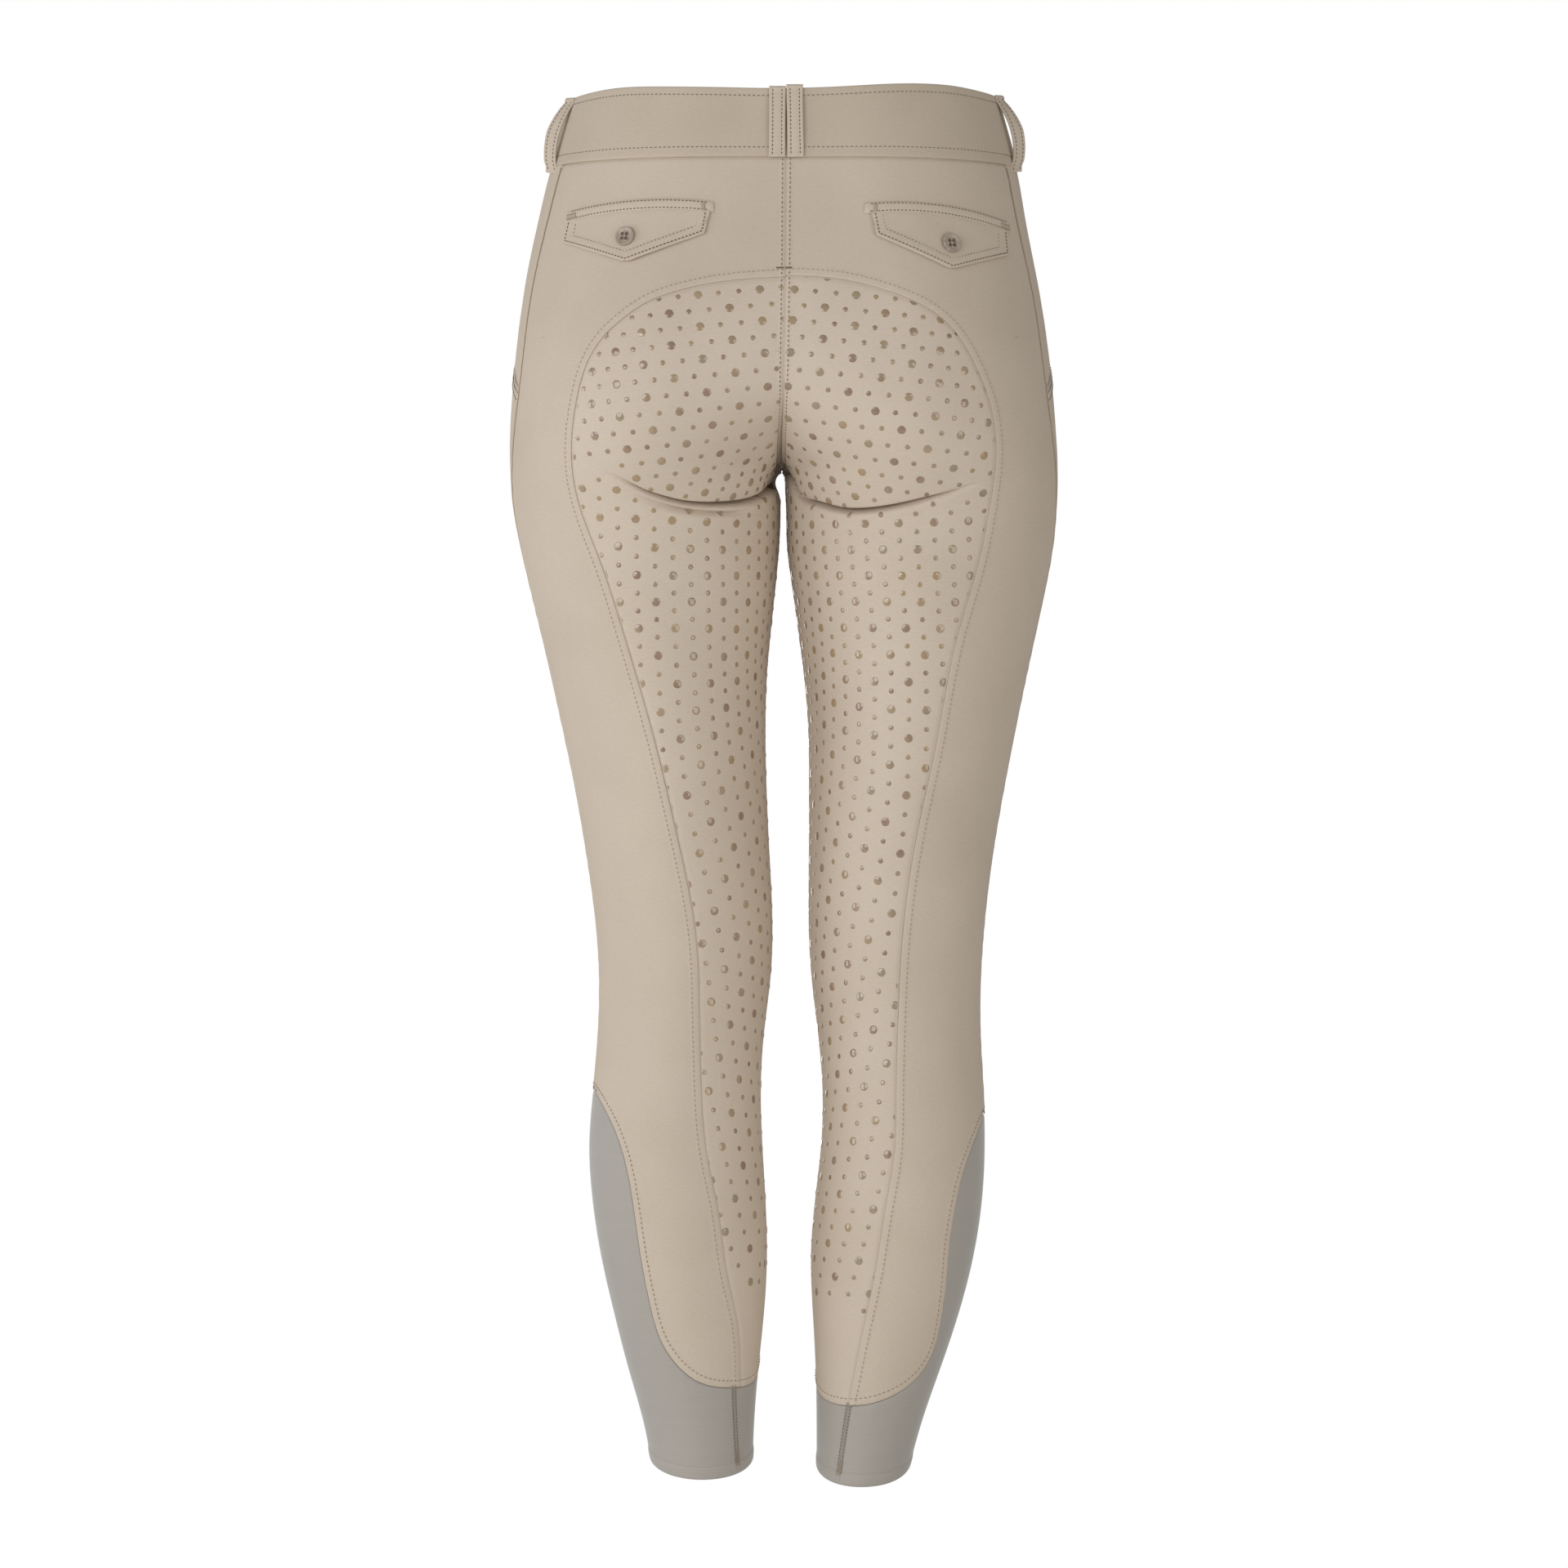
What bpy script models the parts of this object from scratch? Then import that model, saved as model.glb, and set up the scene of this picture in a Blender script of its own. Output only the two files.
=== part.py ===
"""Women's full-seat riding breeches, as worn: a hollow pair of legs under a waistband.

The garment hangs in its own frame: the origin is the centre of the waist opening, +Z is up,
the seat faces -Y and the wearer faces +Y, so the wearer's right leg is at +X. Sizes are in
millimetres and become metres where a mesh is made.

Every panel is a patch of one outer surface. A place on that surface is (round, level):
round is 0 on the side line, 1 at the centre back, -1 at the centre front, and on a leg the
two ends meet on the innermost line. Each panel is a wall through a grid of such places.
"""
import math

import bmesh
import bpy
import numpy as np

MM = 0.001
HALF_GAP = 0.15  # half of the gap between two panels at a seam

CLOTH = 1.4  # wall of the stretch cloth panels
SOCK_CLOTH = 1.2  # wall of the lower leg jersey
BAND_CLOTH = 2.4  # waistband, folded double
BAND_PROUD = 0.5  # the band stands this far outside the panels
BAND_HEIGHT = 49.0
LAID_GAP = 0.3  # clearance under a piece that lies on a panel

CROTCH = -256.0  # level of the lowest point of the crotch seam
BACK_FORK = 78.0  # height over which the crotch seam curves up at the back
FRONT_FORK = 62.0
EVEN_LEVEL = -120.0  # above this level places are shared out evenly along a half section
INSEAM_TURN = 0.14  # how far the inseam runs forward of the innermost line
INSEAM_DROP = 160.0  # height below the crotch over which it turns forward

# One row for each level of the body. The in and out columns are the distances of each leg's
# inner and outer line from the middle plane; the peak columns say where between them the back
# and the front stand out most; the groove column is how far the centre back seam keeps up.
SECTION_COLUMNS = (
    "level", "left_out", "left_in", "right_out", "right_in",
    "side_y", "back_y", "front_y", "back_peak", "front_peak", "groove",
)
SECTIONS = (
    (8, 144.0, -1.4, 145.0, 1.4, 0, -97, 95, 0.24, 0.22, 1.000),
    (-20, 151.0, -1.5, 151.5, 1.5, 0, -100, 98, 0.26, 0.23, 1.000),
    (-50, 160.0, -1.6, 159.5, 1.6, -1, -105, 100, 0.29, 0.24, 0.998),
    (-80, 167.5, -1.4, 165.0, 1.4, -2, -110, 101, 0.33, 0.25, 0.994),
    (-110, 173.8, -1.2, 170.4, 1.2, -3, -117, 101, 0.37, 0.27, 0.988),
    (-140, 179.0, -0.8, 176.0, 0.8, -4, -125, 100, 0.40, 0.29, 0.980),
    (-170, 182.8, -0.4, 180.4, 0.4, -5, -131, 99, 0.43, 0.32, 0.970),
    (-200, 185.6, 0.2, 183.8, -0.2, -5, -133, 98, 0.45, 0.36, 0.958),
    (-228, 187.4, 1.0, 186.0, -1.0, -5, -130, 97, 0.475, 0.43, 0.950),
    (-256, 187.4, 1.6, 187.4, -1.4, -4, -118, 96, 0.50, 0.50, 0.950),
    (-280, 185.6, 1.5, 186.8, 0.5, -4, -103, 95, 0.50, 0.50, 0.950),
    (-305, 180.8, 2.2, 184.4, 1.0, -3, -98, 94, 0.50, 0.50, 0.950),
    (-340, 172.6, 5.6, 178.0, 5.6, -3, -97, 91, 0.50, 0.50, 0.950),
    (-380, 163.0, 10.4, 169.4, 11.6, -3, -94, 89, 0.50, 0.50, 0.950),
    (-425, 153.0, 12.6, 160.0, 16.2, -3, -90, 83, 0.50, 0.50, 0.950),
    (-470, 143.5, 12.0, 151.2, 17.1, -3, -85, 76, 0.50, 0.50, 0.950),
    (-520, 134.8, 9.8, 142.6, 17.0, -5, -78, 67, 0.50, 0.50, 0.950),
    (-560, 129.2, 8.0, 137.6, 16.8, -7, -73, 60, 0.50, 0.50, 0.950),
    (-600, 126.3, 9.0, 134.6, 18.6, -9, -71, 53, 0.50, 0.50, 0.950),
    (-640, 127.0, 13.6, 134.2, 23.2, -13, -74, 47, 0.50, 0.50, 0.950),
    (-680, 130.4, 15.8, 136.2, 26.3, -17, -79, 42, 0.50, 0.50, 0.950),
    (-715, 132.9, 14.8, 137.0, 25.4, -20, -82, 39, 0.50, 0.50, 0.950),
    (-750, 131.0, 12.8, 135.4, 21.6, -22, -83, 36, 0.50, 0.50, 0.950),
    (-790, 125.1, 11.6, 129.6, 18.4, -23, -80, 31, 0.50, 0.50, 0.950),
    (-830, 116.0, 13.6, 119.4, 19.6, -24, -75, 26, 0.50, 0.50, 0.950),
    (-870, 105.6, 17.6, 106.0, 21.6, -25, -70, 20, 0.50, 0.50, 0.950),
    (-905, 95.8, 20.3, 93.9, 22.2, -25, -66, 16, 0.50, 0.50, 0.950),
    (-950, 88.0, 21.8, 82.0, 22.2, -25, -62, 12, 0.50, 0.50, 0.950),
)


def spline(knots, values):
    """Natural cubic spline through (knots, values); knots rise."""
    knots = np.asarray(knots, float)
    values = np.asarray(values, float)
    steps = np.diff(knots)
    slopes = np.diff(values) / steps
    count = len(knots)
    system = np.eye(count)
    right = np.zeros(count)
    for i in range(1, count - 1):
        system[i, i - 1:i + 2] = steps[i - 1], 2 * (steps[i - 1] + steps[i]), steps[i]
        right[i] = 6 * (slopes[i] - slopes[i - 1])
    bends = np.linalg.solve(system, right)

    def value(at):
        at = np.clip(at, knots[0], knots[-1])
        i = np.clip(np.searchsorted(knots, at) - 1, 0, count - 2)
        h = steps[i]
        a = (knots[i + 1] - at) / h
        b = 1 - a
        bend = ((a ** 3 - a) * bends[i] + (b ** 3 - b) * bends[i + 1]) * h * h / 6
        return a * values[i] + b * values[i + 1] + bend

    return value


def columns(names, rows):
    """Splines of every column of a table over its first column, which is a falling level."""
    table = np.array(rows, float)[::-1]
    return {name: spline(table[:, 0], table[:, i]) for i, name in enumerate(names)}


SECTION = columns(SECTION_COLUMNS, SECTIONS)
SAMPLES = np.linspace(0, 1, 65)


def smooth_step(x):
    x = np.clip(x, 0, 1)
    return x * x * (3 - 2 * x)


def fork(level, height):
    """Share of the full depth that the crotch seam has reached at a level."""
    rise = np.clip((level - CROTCH) / height, 0, 1)
    return np.sqrt(1 - (1 - rise) ** 2)


def half_section(side, level, front, along, forked=True):
    """Points of a half section: along runs from 0 on the side line to 1 at its centre end.

    Without the fork the section closes round the leg at any level.
    """
    name = "right" if side > 0 else "left"
    out = SECTION[name + "_out"](level)
    inner = SECTION[name + "_in"](level) + HALF_GAP
    side_y = SECTION["side_y"](level)
    depth = np.where(front, SECTION["front_y"](level), SECTION["back_y"](level)) - side_y
    peak = np.where(front, SECTION["front_peak"](level), SECTION["back_peak"](level))
    peak = np.where(level < CROTCH, 0.5, np.clip(peak, 0.05, 0.5))
    reach = np.where(front, fork(level, FRONT_FORK), fork(level, BACK_FORK))
    reach = reach * np.where(front, 1.0, SECTION["groove"](level)) * forked
    drop = np.sqrt(np.clip(1 - reach ** 2, 1e-4, 1))
    outer_angle = np.minimum(along, 0.5) * math.pi
    inner_angle = np.arcsin(drop) * np.clip(2 * along - 1, 0, 1)
    across = np.where(
        along < 0.5,
        peak + (1 - peak) * np.cos(outer_angle),
        peak * (1 - np.sin(inner_angle) / drop),
    )
    bulge = np.where(along < 0.5, np.sin(outer_angle), np.cos(inner_angle))
    x = side * (inner + (out - inner) * across)
    return np.stack([x, side_y + depth * bulge, level + 0 * x], axis=-1)


def section_run(side, level, front, forked=True):
    """Length of cloth from the side line to each sample of the half sections, and the samples."""
    many = half_section(
        side, level[:, None], front[:, None], SAMPLES[None, :] + 0 * level[:, None], forked
    )
    lengths = np.linalg.norm(np.diff(many, axis=1), axis=2)
    return np.concatenate([0 * lengths[:, :1], np.cumsum(lengths, axis=1)], axis=1), many


def length_at(share, level, run, closed_run):
    """Length of cloth from the side line at a share of the way to the centre end.

    Near the fork the shares follow the closed leg section, so places don't shift sideways
    from one level to the next as the section opens; only those near the centre draw together.
    """
    kept = smooth_step((EVEN_LEVEL - level) / (EVEN_LEVEL - CROTCH))
    return share * run + kept * (closed_run - run) * (share - share ** 3)


def wrapped(round_, level):
    """Past the centre line of a leg a place goes on round its other face."""
    over = (round_ + 1) % 2 - 1
    over = np.where(np.abs(round_) <= 1, round_, over)
    return np.where(level < CROTCH, over, np.clip(round_, -1, 1))


def bare_surface(side, round_, level):
    round_ = wrapped(round_, level)
    front = round_ < 0
    run, _ = section_run(side, level, front)
    closed_run, _ = section_run(side, level, front, False)
    aim = length_at(np.abs(round_), level, run[:, -1], closed_run[:, -1])
    i = np.clip((run < aim[:, None]).sum(axis=1) - 1, 0, len(SAMPLES) - 2)
    row = np.arange(len(i))
    share = (aim - run[row, i]) / (run[row, i + 1] - run[row, i])
    along = SAMPLES[i] + np.clip(share, 0, 1) * (SAMPLES[1] - SAMPLES[0])
    return half_section(side, level, front, along)


def bare_normal(side, round_, level):
    """Outward unit normal. On the centre seam it stays in the middle plane, so halves meet."""
    du, dz = 0.002, 0.4
    around = bare_surface(side, round_ + du, level) - bare_surface(side, round_ - du, level)
    down = bare_surface(side, round_, level + dz) - bare_surface(side, round_, level - dz)
    normal = side * np.cross(down, around)
    normal /= np.linalg.norm(normal, axis=1)[:, None]
    seam = (np.abs(round_) > 0.9995) & (level > CROTCH - HALF_GAP)
    flat = normal * np.array([0, 1, 1])
    square = (flat ** 2).sum(axis=1)
    mitred = np.where(
        (square > 0.3)[:, None], flat / np.maximum(square, 0.3)[:, None], [[0, 0, -1.0]]
    )
    return np.where(seam[:, None], mitred, normal)


def place(side, x, level):
    """Place on the back of the surface at a distance x (positive outwards) from the middle plane."""
    x, level = np.broadcast_arrays(np.asarray(x, float), np.asarray(level, float))
    x, level = x.ravel(), level.ravel()
    back = np.zeros(len(x), bool)
    run, many = section_run(side, level, back)
    closed_run, _ = section_run(side, level, back, False)
    found = []
    for i, at in enumerate(x):
        length = np.interp(-at, -side * many[i, :, 0], run[i])
        lengths = length_at(SAMPLES, level[i], run[i, -1], closed_run[i, -1])
        found.append(np.interp(length, lengths, SAMPLES))
    return np.array(found)


# Outline of the seat panel from its top at the centre back, round the arch and down the leg:
# distance from the middle plane and level, for each leg.
SEAT_EDGE_COLUMNS = ("left_x", "left_level", "right_x", "right_level")
SEAT_EDGE = (
    (0.0, -130.6, 0.0, -129.8),
    (39.6, -133.7, 37.9, -132.3),
    (70.7, -140.1, 70.7, -140.7),
    (92.5, -148.3, 94.1, -150.5),
    (109.0, -159.5, 109.5, -161.8),
    (120.5, -170.0, 120.4, -175.3),
    (131.5, -186.6, 129.5, -192.0),
    (138.6, -209.4, 136.9, -210.0),
    (142.8, -240.0, 142.7, -246.2),
    (140.9, -270.9, 140.4, -273.6),
    (124.5, -319.1, 130.6, -324.0),
    (106.9, -373.0, 116.5, -373.0),
    (86.7, -443.3, 102.8, -443.0),
    (74.1, -496.7, 91.5, -496.0),
    (64.3, -542.5, 83.6, -542.0),
    (59.0, -580.0, 79.4, -584.0),
    (57.4, -625.0, 77.3, -625.0),
    (56.0, -676.0, 75.8, -680.8),
    (52.1, -721.1, 74.3, -722.0),
    (44.9, -757.0, 68.3, -758.0),
    (38.4, -802.7, 61.3, -802.0),
    (32.3, -831.3, 55.3, -831.0),
    (29.8, -878.5, 43.6, -890.5),
)
# Edge between the cloth and the sock, from the side seam down the outside of the calf and
# under the heel of the cloth to the seat panel.
SOCK_EDGE_COLUMNS = ("left_x", "left_level", "right_x", "right_level")
SOCK_EDGE = (
    (128.9, -678.4, 136.2, -694.7),
    (120.5, -691.8, 128.8, -712.4),
    (112.4, -709.0, 121.4, -732.4),
    (105.7, -731.9, 115.7, -757.6),
    (100.7, -762.1, 111.9, -782.5),
    (95.8, -794.8, 109.8, -808.2),
    (90.8, -820.4, 107.1, -829.0),
    (82.0, -848.6, 98.9, -859.6),
    (71.5, -863.4, 84.9, -876.8),
    (58.8, -873.4, 70.0, -885.2),
    (46.1, -877.6, 56.0, -889.4),
    (29.8, -878.5, 43.6, -890.5),
)
# Side seam: how far it lies behind the side line, as a place round the body.
SIDE_SEAM_COLUMNS = ("level", "round")
SIDE_SEAM = (
    (0, 0.165), (-60, 0.170), (-110, 0.160), (-160, 0.147), (-205, 0.122), (-250, 0.070),
    (-300, 0.030), (-360, 0.000), (-500, -0.010), (-720, -0.010),
)
# Mouth of the slanted front pocket.
POCKET_MOUTH_COLUMNS = ("level", "round")
POCKET_MOUTH = ((0, -0.56), (-49, -0.50), (-100, -0.36), (-150, -0.15), (-185, 0.045), (-215, 0.130))
# Creases that the seat cloth makes over the top of the thigh: a trough along a sagging line.
CREASE_COLUMNS = ("side", "inner_x", "inner_level", "outer_x", "outer_level", "sag", "width", "depth")
CREASES = (
    (-1, 2, -266, 116, -264, -16.0, 4.6, 3.4),
    (-1, 22, -285, 92, -276, -3.5, 3.4, 1.4),
    (1, 2, -260, 120, -272, -20.0, 4.8, 3.4),
)
# Hip pockets on the back: a welt with a pointed flap that hangs from it.
POCKETS = {
    -1: dict(
        welt_inner=47.0, welt_outer=146.5, inner_top=-79.8, middle_top=-77.8, outer_top=-83.4,
        welt_height=7.4, flap_inner_top=49.5, flap_inner=53.3, inner_drop=-101.7,
        point=105.3, point_drop=-121.2, flap_outer_top=144.0, flap_outer=148.1,
        outer_drop=-105.2, button=105.5, button_level=-103.8,
    ),
    1: dict(
        welt_inner=54.0, welt_outer=152.5, inner_top=-80.8, middle_top=-80.6, outer_top=-90.0,
        welt_height=7.4, flap_inner_top=58.0, flap_inner=62.1, inner_drop=-103.4,
        point=111.9, point_drop=-125.5, flap_outer_top=149.4, flap_outer=150.5,
        outer_drop=-113.3, button=111.0, button_level=-108.1,
    ),
}
# Belt loops: where each stands round the band and how far it bows out to let the belt through.
LOOP_COLUMNS = ("name", "side", "round", "top", "bottom", "bow", "twist")
LOOPS = (
    ("belt_loop_back_left", -1, 0.9712, 1.6, -49.6, 1.6, 0.0),
    ("belt_loop_back_right", 1, 0.9712, 2.2, -49.6, 1.6, 0.0),
    ("belt_loop_side_left", -1, 0.080, 0.6, -54.5, 8.2, 34.0),
    ("belt_loop_side_right", 1, 0.080, 1.8, -53.0, 8.6, 34.0),
    ("belt_loop_front_left", -1, -0.600, 0.8, -50.0, 2.6, 0.0),
    ("belt_loop_front_right", 1, -0.600, 0.8, -50.0, 2.6, 0.0),
)
LOOP_WIDTH = 11.2
LOOP_CLOTH = 1.6
LOOP_FOOT = 1 / 12  # share of its length that lies on the band at each end
LOOP_STEPS = 13

SEAT_CORNER = -168.0  # level where the arch of the seat panel turns down the leg
HIP_END = -270.0  # level across the hip from the lowest point of the crotch seam
POCKET_END = -203.0  # lower end of the slanted pocket mouth
POCKET_JOG = 3.0  # the front's edge steps from the mouth to the side seam over this height
FACING_UNDER = 4.0  # the pocket facing runs this far in under the front
FACING_SINK = 2.4  # and lies this far below the outer surface there
FACING_SLOPE = 6.0  # width over which it sinks
FRONT_PER_ROUND = 250.0  # mm of cloth for each unit round the front of the hip
HEEL_SHARE = 0.80  # where the sock edge turns under the heel, as a share of its length
SOCK_FRONT_DROP = 16.0  # the sock's front edge is this much lower at the inseam
INSEAM_FOOT = 24.0  # the cloth's lower edge rises this much round to the inseam
# Where the sock's four stretches end at the hem: front, outside of the calf, heel, inside.
SOCK_HEM_ROUNDS = (1.50, 1.92, 2.24, 3.26, 3.50)
HEM_LEVEL = {-1: -929.5, 1: -934.5}
HEM_BACK_DROP = 11.5
HEM_FRONT_RISE = 7.0

BAND_OVERLAP = 0.16  # how far round the right half of the band runs on over the left half
BAND_STEP = 0.12  # how far round it takes to rise over the left half's end
FLY_WIDTH = 34.0
FLY_LENGTH = 128.0
FLY_STRAIGHT = 0.62  # share of its length before its edge curves in to the centre
FLAP_BUTTON = dict(radius=6.6, thick=2.4)
WAIST_BUTTON = dict(radius=7.5, thick=2.8)
WAIST_BUTTON_ROUND = -0.935

HIP_ROWS = 9
LEG_ROWS = 15
LEG_BIAS = 1.4  # above 1, the rows of the leg lie closer together near the crotch
CALF_ROWS = 8
ARCH_ROWS = 9
BACK_COLUMNS = 6
FRONT_COLUMNS = 11
SOCK_ROWS = 6
BAND_COLUMNS = 34

COLOURS = {
    "stretch_cloth": ((0.54, 0.45, 0.35), 0.85),
    "seat_cloth": ((0.56, 0.46, 0.35), 0.80),
    "sock_jersey": ((0.46, 0.44, 0.40), 0.70),
    "button_resin": ((0.42, 0.36, 0.31), 0.35),
}


def side_name(side):
    return "right" if side > 0 else "left"


SIDE_ROUND = columns(SIDE_SEAM_COLUMNS, SIDE_SEAM)["round"]
MOUTH_ROUND = columns(POCKET_MOUTH_COLUMNS, POCKET_MOUTH)["round"]


def inseam_turn(level):
    return INSEAM_TURN * smooth_step((CROTCH - level) / INSEAM_DROP)


def outline(names, rows, side):
    """Dense (round, level) points along an outline given by its distances and levels."""
    table = np.array(rows, float)
    first = names.index(side_name(side) + "_x")
    knots = table[:, first:first + 2]
    run = np.concatenate([[0], np.cumsum(np.linalg.norm(np.diff(knots, axis=0), axis=1))])
    at = np.linspace(0, run[-1], 500)
    x, level = spline(run, knots[:, 0])(at), spline(run, knots[:, 1])(at)
    return np.stack([place(side, x, level), level], axis=1)


def share_of(line, shares):
    """Places at these shares of a dense line's points."""
    at = np.asarray(shares) * (len(line) - 1)
    index = np.arange(len(line))
    return np.stack([np.interp(at, index, line[:, k]) for k in (0, 1)], axis=1)


def at_levels(line, levels):
    """Places where a falling stretch of a line reaches these levels."""
    falling = line[line[:, 1] < SEAT_CORNER + 2]
    return np.interp(-np.asarray(levels), -falling[:, 1], falling[:, 0])


def even_centre(side, front, top, count):
    """Levels along the centre seam, evenly apart on the cloth, from top down to the crotch."""
    level = CROTCH + (top - CROTCH) * (1 - np.linspace(0, 1, 240)) ** 2
    points = bare_surface(side, np.full(240, -1.0 if front else 1.0), level)
    run = np.concatenate([[0], np.cumsum(np.linalg.norm(np.diff(points, axis=0), axis=1))])
    return np.interp(np.linspace(0, run[-1], count + 1), run, level)


def joined(*pieces):
    """One line through several that share their end points."""
    return np.concatenate([pieces[0]] + [piece[1:] for piece in pieces[1:]])


def places(round_, level):
    round_, level = np.broadcast_arrays(np.asarray(round_, float), np.asarray(level, float))
    return np.stack([round_, level], axis=-1)


def seams(side):
    """Every shared seam of one half of the garment, as lines of (round, level) places."""
    edge = outline(SEAT_EDGE_COLUMNS, SEAT_EDGE, side)
    sock = outline(SOCK_EDGE_COLUMNS, SOCK_EDGE, side)
    turn = np.argmin(edge[:, 1] > SEAT_CORNER)
    hip = np.linspace(0, 1, HIP_ROWS + 1)
    leg = np.linspace(0, 1, LEG_ROWS + 1) ** LEG_BIAS
    calf = np.linspace(0, 1, CALF_ROWS + 1)
    sock_top = sock[0, 1]
    foot = edge[-1, 1]
    inseam_top = sock_top - SOCK_FRONT_DROP
    waist = -BAND_HEIGHT - HALF_GAP

    edge_hip = SEAT_CORNER + (HIP_END - SEAT_CORNER) * hip
    edge_leg = HIP_END + (sock_top - HIP_END) * leg
    edge_calf = sock_top + (foot - sock_top) * calf
    side_hip = waist + (HIP_END - waist) * hip
    end = np.argmin(np.abs(side_hip - POCKET_END))
    side_hip[end] = POCKET_END
    side_hip[end + 1] = POCKET_END - POCKET_JOG
    inner_leg = CROTCH + (inseam_top - CROTCH) * leg
    inner_calf = inseam_top + (foot + INSEAM_FOOT - inseam_top) * calf
    back_levels = even_centre(side, False, edge[0, 1], HIP_ROWS)
    front_levels = even_centre(side, True, waist, HIP_ROWS)

    line = {
        "arch": share_of(edge[:turn + 1], np.linspace(0, 1, ARCH_ROWS + 1)),
        "edge_hip": places(at_levels(edge, edge_hip), edge_hip),
        "edge_leg": places(at_levels(edge, edge_leg), edge_leg),
        "edge_calf": places(at_levels(edge, edge_calf), edge_calf),
        "side_hip": places(SIDE_ROUND(side_hip), side_hip),
        "side_leg": places(SIDE_ROUND(edge_leg), edge_leg),
        "sock_calf": share_of(sock, np.linspace(0, HEEL_SHARE, CALF_ROWS + 1)),
        "sock_foot": share_of(sock, np.linspace(1, HEEL_SHARE, BACK_COLUMNS + 1)),
        "centre_back": places(1.0, back_levels),
        "centre_front": places(-1.0, front_levels),
        "inseam_leg": places(1 + inseam_turn(inner_leg), inner_leg),
        "inseam_calf": places(1 + inseam_turn(inner_calf), inner_calf),
    }
    line["arch"][0, 0] = 1.0
    line["arch"][-1] = line["edge_hip"][0]
    line["side_leg"][-1] = sock[0]
    line["edge_calf"][-1] = sock[-1]
    line["waist_back"] = places(
        np.linspace(1, SIDE_ROUND(waist), ARCH_ROWS + 1), np.full(ARCH_ROWS + 1, waist)
    )
    line["side_hip"][0] = line["waist_back"][-1]
    line["top_back"] = places(1.0, np.linspace(edge[0, 1], waist, BACK_COLUMNS + 1))
    across = np.linspace(0, 1, ARCH_ROWS + 1)
    foot_round = 1 + inseam_turn(inner_calf[-1]) + (sock[-1, 0] - 1 - INSEAM_TURN) * across
    line["foot_seat"] = places(foot_round, foot + INSEAM_FOOT * (1 - across) ** 2)
    mouth = side_hip[:end + 1]
    line["mouth"] = places(MOUTH_ROUND(mouth), mouth)
    line["facing_side"] = line["side_hip"][:end + 1]
    across = np.linspace(0, 1, FRONT_COLUMNS + 1)
    line["waist_front"] = places(
        MOUTH_ROUND(waist) + (-1 - MOUTH_ROUND(waist)) * across, waist + 0 * across
    )
    sock_front_end = -1 + inseam_turn(inseam_top)
    line["sock_front"] = places(
        sock[0, 0] + (sock_front_end - sock[0, 0]) * across,
        sock_top + (inseam_top - sock_top) * smooth_step(across),
    )
    return line


def patch(left, right, top, bottom):
    """Grid of places that fills four boundary lines. Rows run from top to bottom."""
    down = np.linspace(0, 1, len(left))[:, None, None]
    across = np.linspace(0, 1, len(top))[None, :, None]
    sides = (1 - across) * left[:, None] + across * right[:, None]
    ends = (1 - down) * top[None] + down * bottom[None]
    corners = (
        (1 - across) * (1 - down) * left[0] + across * (1 - down) * right[0]
        + (1 - across) * down * left[-1] + across * down * right[-1]
    )
    return sides + ends - corners


def crease_depth(side, x, level):
    total = 0 * x
    for row in CREASES:
        crease = dict(zip(CREASE_COLUMNS, row))
        if crease["side"] != side:
            continue
        share = (x - crease["inner_x"]) / (crease["outer_x"] - crease["inner_x"])
        inside = np.clip(share, 0, 1)
        line = crease["inner_level"] + (crease["outer_level"] - crease["inner_level"]) * inside
        line = line + crease["sag"] * 4 * inside * (1 - inside)
        fade = np.where(np.abs(share - 0.5) < 0.5, np.sin(math.pi * inside) ** 0.7, 0)
        total = total + crease["depth"] * fade * np.exp(-((level - line) / crease["width"]) ** 2)
    return total


def surface(side, round_, level):
    """Outer surface and normal. Past the centre front a place runs on over the other half."""
    shape = np.shape(round_)
    round_, level = np.ravel(round_).astype(float), np.ravel(level).astype(float)
    points, normals = np.zeros((len(level), 3)), np.zeros((len(level), 3))
    over = (round_ < -1) & (level > CROTCH)
    for mask, part_side, part_round in ((~over, side, round_), (over, -side, -2 - round_)):
        if mask.any():
            points[mask] = bare_surface(part_side, part_round[mask], level[mask])
            normals[mask] = bare_normal(part_side, part_round[mask], level[mask])
    back = (round_ > 0) & (round_ < 1.1)
    trough = np.where(back, crease_depth(side, side * points[:, 0], level), 0)
    points -= normals * trough[:, None]
    return points.reshape(*shape, 3), normals.reshape(*shape, 3)


def drawn_in(points, level, centre, still):
    """Move the rim of a grid inwards by half a seam gap.

    The centre rim keeps its place above the crotch, where both halves already stand clear of
    the middle plane, and the still rims keep theirs, because they meet no other piece there.
    """
    moved = points.copy()
    rims = {
        "left": (np.s_[:, 0], np.s_[:, 1]), "right": (np.s_[:, -1], np.s_[:, -2]),
        "top": (np.s_[0], np.s_[1]), "bottom": (np.s_[-1], np.s_[-2]),
    }
    for name, (rim, next_in) in rims.items():
        if name in still:
            continue
        tangent = np.gradient(points[rim], axis=0)
        tangent /= np.linalg.norm(tangent, axis=1)[:, None]
        inward = points[next_in] - points[rim]
        inward -= (inward * tangent).sum(axis=1)[:, None] * tangent
        inward /= np.linalg.norm(inward, axis=1)[:, None]
        held = (level[rim] > CROTCH + 0.01) & (name == centre)
        moved[rim] += np.where(held[:, None], 0, HALF_GAP) * inward
    return moved


def material(name):
    colour, roughness = COLOURS[name]
    made = bpy.data.materials.get(name)
    if made is None:
        made = bpy.data.materials.new(name)
        made.use_nodes = True
        shader = made.node_tree.nodes["Principled BSDF"]
        shader.inputs["Base Color"].default_value = (*colour, 1)
        shader.inputs["Roughness"].default_value = roughness
    return made


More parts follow.
